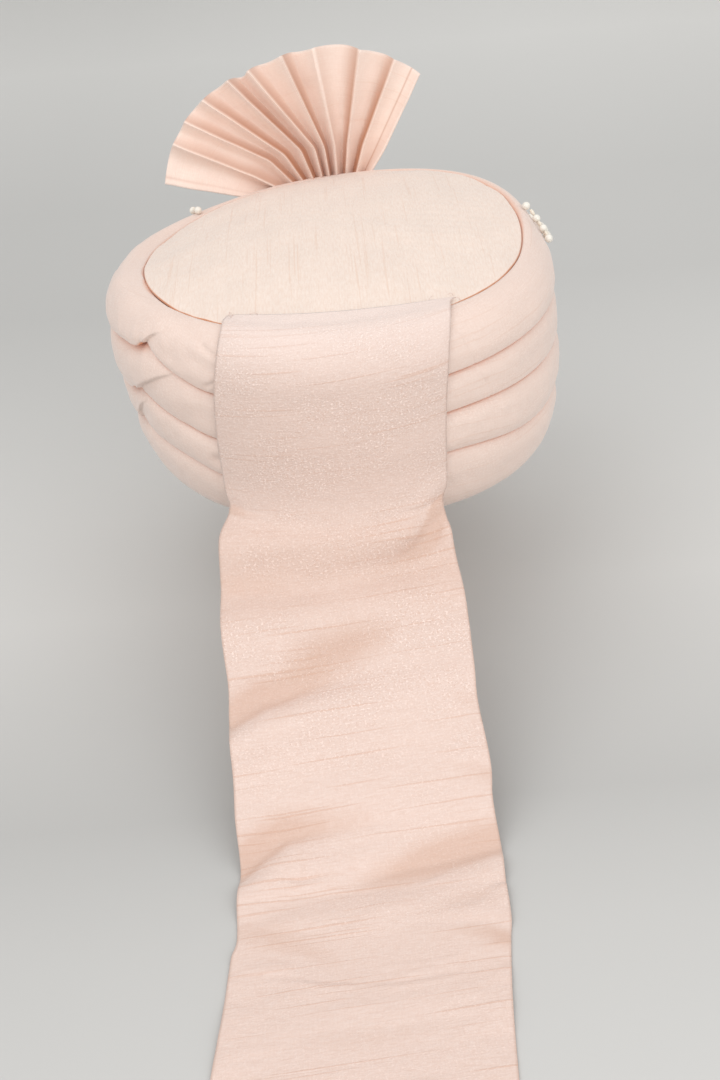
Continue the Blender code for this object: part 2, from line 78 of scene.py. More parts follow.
CROWN_HALF_WIDTH = HALF_WIDTH - TOP_ROUND
CROWN_HALF_LENGTH = HALF_LENGTH - TOP_ROUND

# Fine sizes of the looks alone, in metres. Some give the cloth a finer fit than the solids do.
# Lumps are height, spacing and seed, ARC_LENGTH is the length of a degree round the wraps,
# TAIL_BEND is in travel and WEFT_TILT is a slope
CLEAR = 0.0003
GROOVE_UPPER = 0.0042
GROOVE_LOWER = 0.0018
GROOVE_REACH = 0.012
LIP_UPPER = 0.0014
LIP_LOWER = 0.0011
CROWN_OVER = 0.0008
CROWN_EDGE_ROUND = 0.0012
CROWN_TURN_IN = 0.0015
CROWN_DIVE = 0.009
CROWN_DIVE_END = 0.011
CROWN_LUMPS = ((0.0005, 0.040, 3), (0.00018, 0.010, 4))
SKIN_LUMPS = 0.00045
ARC_LENGTH = 0.00230
TAIL_LIFT = 0.0009
TAIL_CLOTH = 0.0010
TAIL_BEND = 0.26
TAIL_BEND_ROUNDS = 380
WEFT_TILT = -0.08
TAIL_LUMPS = ((0.0004, 0.022, 5), (0.00015, 0.007, 6))
TAIL_SEAT = 0.0002
TAIL_LOOSE = 0.0008
FAN_CLOTH = 0.0011
FAN_FOOT_SINK = 0.016
FAN_PLEAT_DEPTH = 0.0112
FAN_PANEL_WIDTH = 0.018
FAN_LUMPS = (0.0007, 0.022, 11)
SMALL_BEAD = 0.0019
THREAD = 0.0003

# Where the crown's edge and the lines between the wraps run, as shares of CAP_HEIGHT
WRAP_LINES = [
    # azimuth, crown_edge, line_1, line_2, line_3
    (0, 1.04, 0.76, 0.525, 0.29),
    (45, 1.055, 0.76, 0.53, 0.295),
    (90, 0.99, 0.74, 0.53, 0.3),
    (140, 0.92, 0.715, 0.525, 0.29),
    (165, 0.935, 0.74, 0.525, 0.285),
    (190, 0.985, 0.765, 0.52, 0.287),
    (198, 0.995, 0.773, 0.512, 0.297),
    (203, 1.0, 0.786, 0.512, 0.325),
    (207, 1.0, 0.797, 0.526, 0.345),
    (210, 1.0, 0.806, 0.545, 0.334),
    (213, 1.0, 0.812, 0.574, 0.326),
    (215.5, 1.0, 0.816, 0.566, 0.324),
    (218, 1.0, 0.83, 0.556, 0.322),
    (220, 1.0, 0.858, 0.549, 0.32),
    (221.5, 1.0, 0.852, 0.542, 0.318),
    (226, 1.0, 0.808, 0.525, 0.311),
    (232, 1.0, 0.763, 0.5, 0.294),
    (241, 1.0, 0.712, 0.466, 0.254),
    (262, 1.0, 0.705, 0.485, 0.275),
    (291, 1.0, 0.74, 0.552, 0.345),
    (315, 1.0, 0.76, 0.545, 0.295),
    (340, 1.01, 0.76, 0.525, 0.287),
]

# Fullness of the padding against the plain oval, as shares of WRAP_BULK, and the rise of the
# top wrap above the crown's edge as a share of TOP_ROUND
FULLNESS = [
    # azimuth, rim, lower, upper, top, hump
    (0, 0.03, 0.01, -0.03, -0.07, -0.12),
    (30, 0.0, 0.0, -0.03, -0.09, -0.18),
    (60, 0.0, 0.0, -0.02, -0.05, -0.1),
    (90, 0.0, 0.0, 0.0, 0.0, 0.0),
    (120, 0.0, 0.0, 0.02, 0.02, 0.01),
    (150, 0.0, 0.0, 0.05, 0.1, 0.17),
    (175, -0.01, 0.02, 0.1, 0.14, 0.2),
    (200, -0.05, -0.02, 0.1, 0.1, 0.1),
    (218, -0.08, -0.05, 0.05, 0.06, 0.04),
    (238, -0.08, -0.06, 0.0, 0.0, 0.0),
    (262, -0.03, -0.02, 0.0, 0.0, 0.0),
    (290, 0.03, 0.02, 0.0, 0.0, 0.0),
    (315, 0.08, 0.05, 0.0, -0.01, 0.0),
    (340, 0.08, 0.03, -0.01, -0.04, -0.06),
]
FULLNESS_HEIGHTS = (0.0, 0.33, 0.66, 1.0)

# How far the top wrap stands off the crown's edge, in metres
CROWN_GAP = [
    # azimuth, gap
    (0, 0.0016),
    (14, 0.0026),
    (40, 0.0022),
    (65, 0.0003),
    (100, 0.0),
    (150, 0.0002),
    (183, 0.0003),
    (190, 0.002),
    (197, 0.001),
    (206, 0.0022),
    (214, 0.0008),
    (225, 0.0004),
    (243, 0.0003),
    (300, 0.0),
    (345, 0.0002),
]

# Folds of the wraps. A step drops the cloth behind it and fades over its width; a valley is a
# soft crease or a sewn line. Depth and width are in metres, places are azimuths and shares of
# CAP_HEIGHT
WRAP_FOLDS = [
    # wrap, kind, depth, width, places
    (0, "step", 0.002, 0.014, ((220.3, 0.85), (221.6, 0.88), (223.6, 0.912), (227.0, 0.945))),
    (1, "step", 0.0019, 0.016, ((213.2, 0.56), (219.0, 0.64), (225.5, 0.715), (232.0, 0.775))),
    (2, "step", 0.0016, 0.012, ((207.2, 0.34), (209.0, 0.4), (213.0, 0.47), (219.0, 0.56))),
    (0, "step", -0.0012, 0.02, ((184.0, 0.925), (191.0, 0.955), (197.0, 0.985), (201.0, 1.01))),
    (0, "valley", 0.0009, 0.0014, ((187.0, 0.985), (191.5, 0.992), (197.0, 1.0))),
    (0, "valley", 0.001, 0.0012, ((245.0, 0.892), (242.5, 0.905), (239.5, 0.93))),
    (0, "valley", 0.0011, 0.005, ((246.0, 0.838), (240.0, 0.85), (230.0, 0.858))),
    (0, "valley", 0.0008, 0.0012, ((245.0, 0.8), (242.5, 0.775), (240.5, 0.752))),
    (1, "valley", 0.001, 0.007, ((246.0, 0.64), (240.5, 0.6), (234.0, 0.56))),
    (2, "valley", 0.0016, 0.0034, ((246.0, 0.33), (242.5, 0.342), (240.0, 0.352))),
    (1, "valley", 0.003, 0.008, ((199.0, 0.79), (208.0, 0.803), (215.0, 0.822), (220.0, 0.85))),
    (2, "valley", 0.0022, 0.006, ((199.0, 0.52), (207.0, 0.528), (213.0, 0.565))),
    (3, "valley", 0.0016, 0.005, ((199.0, 0.305), (203.0, 0.325), (207.0, 0.345))),
    (0, "valley", 0.0005, 0.0007, ((292.5, 1.0), (296.0, 0.9), (298.5, 0.735))),
    (1, "valley", 0.0004, 0.0007, ((298.5, 0.735), (301.0, 0.64), (302.5, 0.56))),
]

# Widths and sideways shifts of the tail as shares of TAIL_WIDTH: travel is 0 at the hem, 1 at
# the rim, 2 where the cloth meets the lying level and 3 at its end
HEM_TRAVEL = 0.20
SIDE_TRAVEL = 0.45
FLAT_TRAVEL = 0.30
TAIL_LINE = [
    # travel, width, shift
    (0.0, 0.933, 0.017),
    (0.25, 0.925, -0.011),
    (0.45, 0.933, -0.05),
    (0.65, 0.933, -0.068),
    (0.92, 0.918, -0.072),
    (1.0, 0.885, -0.077),
    (1.03, 0.915, -0.079),
    (1.08, 0.96, -0.084),
    (1.2, 1.0, -0.084),
    (1.6, 1.0, -0.066),
    (2.0, 1.0, -0.058),
    (2.4, 0.995, -0.085),
    (3.0, 1.015, -0.142),
]
TAIL_EDGES = [
    # travel, left, right: how far each edge wanders outwards, in metres
    (1.0, 0.0, 0.0),
    (1.06, 0.001, -0.0006),
    (1.3, 0.0, 0.0004),
    (1.4, -0.0008, 0.0),
    (1.48, 0.0004, -0.0008),
    (1.66, 0.0, 0.0012),
    (1.75, 0.0002, -0.0004),
    (1.88, -0.0008, 0.0006),
    (2.0, 0.0004, 0.0),
    (2.2, -0.001, 0.001),
    (2.28, 0.0006, 0.0004),
    (2.6, 0.0, -0.0006),
    (3.0, 0.0, 0.0),
]
TAIL_WAVES = [
    # travel, depth in metres, half length in travel, slant in travel
    (1.07, 0.003, 0.05, -0.01),
    (1.17, -0.003, 0.05, -0.02),
    (1.26, 0.0028, 0.06, -0.03),
    (1.38, -0.0016, 0.06, -0.04),
    (1.49, 0.002, 0.05, -0.05),
    (1.58, 0.0006, 0.09, -0.04),
    (1.72, 0.0016, 0.07, -0.02),
    (1.9, 0.001, 0.06, -0.03),
    (2.1, 0.0018, 0.09, -0.05),
    (2.62, 0.0012, 0.16, -0.04),
]

# Creases and soft valleys of the tail, with their strength at both ends. A negative depth is a
# ridge. Places are travel and the share across, -1 at the left
TAIL_FOLDS = [
    # depth, width, start, end, places
    (0.0014, 0.003, 0.6, 0.0, ((0.02, -0.8), (0.12, -0.77), (0.26, -0.84))),
    (0.0012, 0.004, 0.8, 0.0, ((0.02, -0.34), (0.1, -0.37), (0.25, -0.44))),
    (0.0009, 0.003, 0.6, 0.0, ((0.02, 0.86), (0.14, 0.8), (0.24, 0.82))),
    (0.003, 0.003, 1.0, 0.0, ((1.0, -1.0), (1.01, -0.84), (1.01, -0.55))),
    (0.006, 0.006, 1.0, 0.0, ((1.0, 1.0), (1.04, 0.88), (1.09, 0.72), (1.13, 0.46), (1.16, 0.0))),
    (-0.002, 0.0028, 1.0, 0.2, ((1.0, 1.02), (1.05, 0.97), (1.13, 0.92))),
    (0.0034, 0.0095, 0.7, 0.0, ((1.17, -1.0), (1.17, -0.55), (1.18, -0.1), (1.14, 0.5))),
    (0.003, 0.011, 0.0, 0.0, ((1.36, -0.6), (1.34, -0.25), (1.31, 0.15), (1.28, 0.6))),
    (0.0058, 0.0085, 1.0, 0.0, ((1.5, -1.0), (1.45, -0.72), (1.43, -0.45), (1.41, -0.1), (1.35, 0.45))),
    (-0.002, 0.01, 1.0, 0.0, ((1.55, -1.0), (1.51, -0.6), (1.49, -0.1), (1.44, 0.4))),
    (0.0014, 0.006, 1.0, 0.0, ((1.49, 1.0), (1.47, 0.8), (1.46, 0.45))),
    (0.0018, 0.0065, 1.0, 0.0, ((1.68, 1.0), (1.66, 0.84), (1.64, 0.45))),
    (0.0058, 0.008, 1.0, 0.0, ((1.9, -1.0), (1.85, -0.84), (1.8, -0.62), (1.79, -0.25), (1.77, 0.35))),
    (-0.0022, 0.01, 0.6, 0.0, ((1.96, -1.0), (1.9, -0.6), (1.88, -0.1))),
    (0.0012, 0.0016, 0.0, 0.0, ((1.93, -0.72), (1.94, -0.52), (1.93, -0.3))),
    (0.005, 0.008, 0.0, 1.0, ((1.98, -0.25), (1.96, 0.0), (1.93, 0.3), (1.9, 0.6), (1.87, 1.0))),
    (0.0009, 0.0012, 0.0, 0.0, ((1.99, -0.02), (1.98, 0.25), (1.94, 0.63))),
    (0.0024, 0.009, 0.0, 0.8, ((2.12, 0.1), (2.08, 0.45), (2.04, 0.8))),
    (0.0032, 0.005, 1.0, 0.0, ((2.29, 1.0), (2.25, 0.86), (2.22, 0.6), (2.2, 0.25))),
    (0.0009, 0.001, 1.0, 0.6, ((2.35, -0.12), (2.37, 0.1), (2.36, 0.5), (2.3, 1.0))),
    (0.002, 0.006, 0.0, 0.0, ((2.26, -1.0), (2.24, -0.7), (2.29, -0.42), (2.42, -0.1))),
    (0.001, 0.0012, 1.0, 0.7, ((2.38, -1.0), (2.4, -0.6), (2.44, -0.3), (2.47, 0.2), (2.42, 0.95))),
    (0.0016, 0.007, 0.8, 0.0, ((2.15, -1.0), (2.17, -0.7), (2.16, -0.35))),
    (0.0012, 0.009, 0.0, 0.0, ((2.7, -0.9), (2.74, 0.0), (2.66, 0.9))),
]

# Ridge folds of the fan, from the wearer's left to the right
FAN_FOLDS = [
    # tip_angle from upright, reach as a share of FAN_REACH, share of the angle below the kink
    (-79.5, 1.0, 1.0),
    (-65.0, 0.995, 0.9),
    (-56.0, 0.985, 0.72),
    (-46.0, 0.965, 0.65),
    (-34.7, 0.94, 0.53),
    (-26.5, 0.915, 0.36),
    (-13.0, 0.912, 0.42),
    (-0.5, 0.915, 0.4),
    (16.5, 0.92, 0.45),
    (30.0, 0.928, 0.6),
    (40.5, 0.935, 0.86),
]

# The panels between them: where each one's valley lies, how much its rim dips, its fullness at the rim,
# and how much painted shade it has beside its left and its right ridge
FAN_PANELS = [
    # valley_place, rim_dip, fullness, shade_left, shade_right
    (0.6, 0.0, 0.45, 0.1, 0.25),
    (0.45, 0.01, 0.6, 0.6, 0.1),
    (0.38, 0.012, 0.75, 0.8, 0.05),
    (0.34, 0.022, 0.9, 0.9, 0.05),
    (0.32, 0.045, 1.0, 1.0, 0.05),
    (0.32, 0.03, 0.9, 0.8, 0.05),
    (0.32, 0.028, 0.95, 0.95, 0.05),
    (0.66, 0.0, 0.7, 0.35, 0.85),
    (0.72, 0.004, 0.75, 0.05, 0.95),
    (0.6, 0.004, 0.4, 0.1, 0.15),
]

PEARL_ROUTE = [
    # azimuth, height as a share of the top wrap
    (8, 0.985),
    (5, 0.86),
    (1, 0.72),
    (-2.5, 0.58),
    (10, 0.46),
    (50, 0.38),
    (90, 0.36),
    (115, 0.38),
    (124, 0.56),
    (129, 0.8),
    (131, 0.985),
]

# What lies on each length of the pearl string
BEADS = [
    # shift as a share of the length, diameter, material, sides
    (0.0, PEARL_SIZE, 0, 24),
    (0.38, SMALL_BEAD, 1, 12),
    (0.5, SMALL_BEAD * 1.25, 1, 12),
    (0.62, SMALL_BEAD, 1, 12),
]

# Threads that tack the hem down, as places on the crown and lengths along X and Y, in metres
TACKS = [
    # x, y, run_x, run_y
    (-0.0545, -0.106, 0.0004, 0.0062),
    (-0.0535, -0.1075, 0.0016, 0.004),
    (-0.044, -0.108, 0.0045, 0.0012),
    (0.048, -0.105, -0.003, -0.0042),
    (0.056, -0.103, 0.003, 0.0028),
    (0.0585, -0.106, 0.0036, 0.0014),
]

# How finely the forms are divided
STEP_AZIMUTH = 0.75
FINE_AZIMUTH = 0.25
FINE_ZONES = ((184.0, 246.0), (291.0, 304.0))
SKIN_STEPS = 40
TAIL_COLUMNS = 93
TAIL_ROWS = (
    # from, to, rows, whether the last place is among them
    (0.0, HEM_TRAVEL, 10, False),
    (HEM_TRAVEL, SIDE_TRAVEL, 34, False),
    (SIDE_TRAVEL, 1.0, 62, False),
    (1.0, 2.0, 150, False),
    (2.0, 3.0, 90, True),
)

# Colours of the cloth and the painted shade colours of its grooves and folds, as linear red, green
# and blue; TAIL_GLEAM is the colour of a painted highlight
WRAP_COLOUR = (0.845, 0.685, 0.61)
WRAP_GROOVE_SHADE = (0.85, 0.36, 0.17)
CROWN_COLOUR = (0.88, 0.755, 0.672)
CROWN_GROOVE_SHADE = (0.66, 0.32, 0.18)
TAIL_COLOUR = (0.79, 0.635, 0.57)
TAIL_FOLD_SHADE = (0.56, 0.325, 0.22)
TAIL_GLEAM = (0.92, 0.8, 0.75)
TAIL_SPOT = ((0.035, -0.262, -0.06), 0.0022)
FAN_COLOUR = (0.98, 0.82, 0.735)
FAN_FOLD_SHADE = (0.5, 0.22, 0.12)
INSIDE_COLOUR = (0.8, 0.7, 0.62)
PEARL_COLOUR = (0.9, 0.86, 0.78)
BEAD_COLOUR = (0.88, 0.8, 0.68)

# The photo's camera, and soft studio lights
CAMERA_PLACE = (0.0, -0.81294, 0.3929)
CAMERA_PITCH = 30.616
CAMERA_YAW = 0.12
CAMERA_ROLL = -4.86
CAMERA_LENS = 50.0
SENSOR_WIDTH = 36.0
WORLD_COLOUR = (1.0, 0.99, 0.98)
WORLD_STRENGTH = 0.70
LIGHTS = [
    # name, place, target, size, power
    ("key", (-1.0, -0.8, 1.4), (0.0, 0.0, 0.05), 2.2, 12.0),
    ("top", (0.2, 0.3, 2.0), (0.0, 0.0, 0.05), 3.0, 5.5),
    ("fill", (0.9, -1.5, 0.7), (0.0, -0.1, 0.0), 2.4, 15.0),
]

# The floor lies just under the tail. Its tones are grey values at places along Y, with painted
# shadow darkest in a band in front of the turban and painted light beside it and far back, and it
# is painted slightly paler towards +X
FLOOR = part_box("tail")[0].z - 0.0002
FLOOR_TONE_SPAN = (-0.6, 1.4)
FLOOR_TINT = (1.0, 0.998, 0.975)
FLOOR_SIDE_SPAN = (-0.3, 0.3)
FLOOR_SIDE_TONES = (0.95, 1.04)
FLOOR_TONES = [
    # y, tone
    (-0.45, 0.595),
    (-0.33, 0.555),
    (-0.24, 0.5),
    (-0.15, 0.57),
    (-0.05, 0.655),
    (0.07, 0.65),
    (0.45, 0.555),
    (0.75, 0.585),
    (1.4, 0.74),
]


def smooth_table(rows, column, places, period=None):
    """Values of a table's column on a smooth curve through its rows."""
    x = np.array([row[0] for row in rows], float)
    y = np.array([row[column] for row in rows], float)
    places = np.asarray(places, float)
    if period:
        places = places % period
        x = np.concatenate((x[-2:] - period, x, x[:2] + period))
        y = np.concatenate((y[-2:], y, y[:2]))
    places = np.clip(places, x[0], x[-1])
    slope = np.empty_like(y)
    slope[1:-1] = (y[2:] - y[:-2]) / (x[2:] - x[:-2])
    slope[0] = (y[1] - y[0]) / (x[1] - x[0])
    slope[-1] = (y[-1] - y[-2]) / (x[-1] - x[-2])
    k = np.clip(np.searchsorted(x, places, side="right") - 1, 0, len(x) - 2)
    span = x[k + 1] - x[k]
    t = (places - x[k]) / span
    start = (2 * t ** 3 - 3 * t ** 2 + 1) * y[k] + (t ** 3 - 2 * t ** 2 + t) * span * slope[k]
    end = (3 * t ** 2 - 2 * t ** 3) * y[k + 1] + (t ** 3 - t ** 2) * span * slope[k + 1]
    return start + end


def around(rows, column, azimuth):
    return smooth_table(rows, column, azimuth, period=360.0)


def stroke(places, across, along):
    """Distance to a polyline, signed by its side, and how far along it the nearest point is."""
    best = np.full(across.shape, 1e9)
    side = np.ones(across.shape)
    travelled = np.zeros(across.shape)
    count = len(places) - 1
    for index, ((x0, y0), (x1, y1)) in enumerate(zip(places, places[1:])):
        dx, dy = x1 - x0, y1 - y0
        t = np.clip(((across - x0) * dx + (along - y0) * dy) / (dx * dx + dy * dy), 0.0, 1.0)
        offset_x = across - (x0 + dx * t)
        offset_y = along - (y0 + dy * t)
        distance = np.hypot(offset_x, offset_y)
        nearer = distance < best
        best = np.where(nearer, distance, best)
        side = np.where(nearer, np.sign(dx * offset_y - dy * offset_x), side)
        travelled = np.where(nearer, (index + t) / count, travelled)
    return best, side, travelled


def bell(value, centre, width, power=2):
    """1 at the centre, falling off smoothly over the width on both sides."""
    return np.exp(-np.abs((value - centre) / width) ** power)


def ramped(value, low, high):
    """0 up to low, 1 from high on and straight between them."""
    return np.clip((value - low) / (high - low), 0.0, 1.0)


def oval_radius(azimuth, half_width, half_length):
    across = np.abs(np.cos(np.radians(azimuth))) / half_width
    along = np.abs(np.sin(np.radians(azimuth))) / half_length
    return (across ** OVAL_POWER + along ** OVAL_POWER) ** (-1 / OVAL_POWER)


def oval_back(x, half_width, half_length):
    share = np.minimum(np.abs(x) / half_width, 1.0)
    return -half_length * (1 - share ** OVAL_POWER) ** (1 / OVAL_POWER)


def at(azimuth, radius, z):
    angle = np.radians(azimuth)
    z = np.broadcast_to(z, np.shape(radius))
    return np.stack((radius * np.cos(angle), radius * np.sin(angle), z), axis=-1)


def line_height(line, azimuth):
    """Height of the crown's edge (line 0), a line between two wraps (1 to 3) or the rim (4)."""
    if line == WRAPS:
        return np.zeros(np.shape(azimuth))
    return CAP_HEIGHT * around(WRAP_LINES, line + 1, azimuth)


def cap_half_sizes(z, azimuth):
    share = z / line_height(0, azimuth)
    half_width = HEAD_WIDTH / 2 + CAP_WALL
    half_length = HEAD_LENGTH / 2 + CAP_WALL
    return (
        half_width + (CROWN_HALF_WIDTH - half_width) * share,
        half_length + (CROWN_HALF_LENGTH - half_length) * share,
    )


def crown_height(share, azimuth):
    edge = CAP_HEIGHT + (line_height(0, azimuth) - CAP_HEIGHT) * share ** 2
    return edge + CROWN_RISE * (1 - share ** CROWN_POWER)


def padding(z, azimuth):
    share = np.clip(z / line_height(0, azimuth), 0.0, 1.0)
    columns = [around(FULLNESS, column, azimuth) for column in (1, 2, 3, 4)]
    extra = np.zeros(np.shape(share))
    for k in range(3):
        low, high = FULLNESS_HEIGHTS[k], FULLNESS_HEIGHTS[k + 1]
        t = np.clip((share - low) / (high - low), 0.0, 1.0)
        t = t * t * (3 - 2 * t)
        inside = (share >= low) & (share <= high)
        extra = np.where(inside, columns[k] + (columns[k + 1] - columns[k]) * t, extra)
    return WRAP_BULK * extra


def skin_inset(z, azimuth, gap=0.0):
    """How far the outside of the wraps lies inside their widest oval at a height."""
    top = line_height(0, azimuth)
    low = WIDEST_LOW * CAP_HEIGHT
    high = WIDEST_HIGH * top
    rise = np.clip((z - high) / (top - high), 0.0, 1.0)
    drop = np.clip((low - z) / low, 0.0, 1.0)
    edge = TOP_ROUND - 2 * CROWN_OVER - gap
    extra = padding(z, azimuth)
    inset = (edge + extra) * (1 - np.sqrt(1 - rise ** 2))
    inset = inset + RIM_ROUND * (1 - np.sqrt(1 - drop ** 2))
    return inset - extra


def lumps(points, size, seed):
    """Smooth random unevenness, mostly from -1 to 1, at points."""
    random = np.random.default_rng(seed)
    values = np.zeros(points.shape[:-1])
    for _ in range(9):
        direction = random.normal(size=3)
        direction *= random.uniform(0.6, 1.3) / np.linalg.norm(direction)
        values += np.sin(points @ direction * (2 * np.pi / size) + random.uniform(0, 2 * np.pi))
    return values / 4.5


def lumpy(points, rows):
    return sum(height * lumps(points, size, seed) for height, size, seed in rows)


def lip(distance, radius):
    """Inset of a rounded edge at a distance from it."""
    near = np.clip((radius - distance) / radius, 0.0, 1.0)
    return radius * (1 - np.sqrt(1 - near ** 2))


def fold_relief(wrap, azimuth, z):
    """Depth of the folds of a wrap."""
    depth = np.zeros(azimuth.shape)
    across = azimuth * ARC_LENGTH
    for row_wrap, kind, row_depth, width, places in WRAP_FOLDS:
        if row_wrap != wrap:
            continue
        route = [(place[0] * ARC_LENGTH, place[1] * CAP_HEIGHT) for place in places]
        distance, side, travelled = stroke(route, across, z)
        if kind == "valley":
            depth += row_depth * bell(distance, 0.0, width)
        else:
            fade = 1 - travelled ** 3
            behind = np.clip(-side * distance / (0.06 * width) + 0.5, 0.0, 1.0)
            behind = behind * behind * (3 - 2 * behind)
            near_ends = np.exp(-np.maximum(distance - width, 0.0) / width)
            depth += row_depth * fade * behind * np.exp(-distance / width) * near_ends
            depth -= row_depth * 0.35 * fade * (1 - behind) * bell(distance, 0.0, width)
    return depth


def wrap_span(wrap, azimuth):
    low = line_height(wrap + 1, azimuth)
    high = line_height(wrap, azimuth)
    if wrap < WRAPS - 1:
        low = low + CLEAR / 2
    if wrap > 0:
        high = high - CLEAR / 2
    return low, high


def wrap_skin(wrap, share, azimuth):
    """Points on a wrap's outside, and how much painted groove shade each takes, from 0 to 1."""
    low, high = wrap_span(wrap, azimuth)
    z = low + (high - low) * share
    gap = around(CROWN_GAP, 1, azimuth) if wrap == 0 else 0.0
    inset = skin_inset(z, azimuth, gap)
    relief = fold_relief(wrap, azimuth, z)
    # Painted shade: the deeper folds and the rounded lips into the grooves take the groove shade colour
    painted_shade = np.clip((relief - 0.0016) / 0.006, 0.0, 0.6)
    if wrap > 0:
        relief += GROOVE_UPPER * np.maximum(0.0, 2 * share - 1) ** 3
        edge = lip(high - z, LIP_UPPER)
        relief += edge
        painted_shade = np.maximum(painted_shade, edge / LIP_UPPER)
    if wrap < WRAPS - 1:
        relief += GROOVE_LOWER * np.maximum(0.0, 1 - 2 * share) ** 3
        edge = lip(z - low, LIP_LOWER)
        relief += edge
        painted_shade = np.maximum(painted_shade, edge / LIP_LOWER)
    inset = inset + relief
    radius = oval_radius(azimuth, HALF_WIDTH - inset, HALF_LENGTH - inset)
    if wrap == 0:
        hump = TOP_ROUND * around(FULLNESS, 5, azimuth)
        z = z + hump * np.sin(np.pi * share ** HUMP_POWER)
    points = at(azimuth, radius, z)
    bulk = np.sin(np.pi * np.clip(share, 0, 1)) ** 0.5
    bump = SKIN_LUMPS * (lumps(points, 0.032, wrap + 1) + 0.5 * lumps(points, 0.011, wrap + 9))
    outward = at(azimuth, np.ones(azimuth.shape), 0.0)
    return points + outward * (bump * bulk)[..., None], painted_shade


def station_azimuths():
    """Steps round the turban, finer where the folds are."""
    steps = np.arange(0.0, 360.0, STEP_AZIMUTH)
    for low, high in FINE_ZONES:
        steps = steps[(steps < low) | (steps > high)]
        steps = np.concatenate((steps, np.arange(low, high, FINE_AZIMUTH)))
    return np.sort(steps)


def new_material(name):
    material = bpy.data.materials.new(name)
    material.use_nodes = True
    tree = material.node_tree
    return material, tree, tree.nodes["Principled BSDF"]


def new_object(name, data):
    obj = bpy.data.objects.new(name, data)
    bpy.context.scene.collection.objects.link(obj)
    return obj


def shaded(colour, shades):
    return tuple(channel * shade for channel, shade in zip(colour, shades))


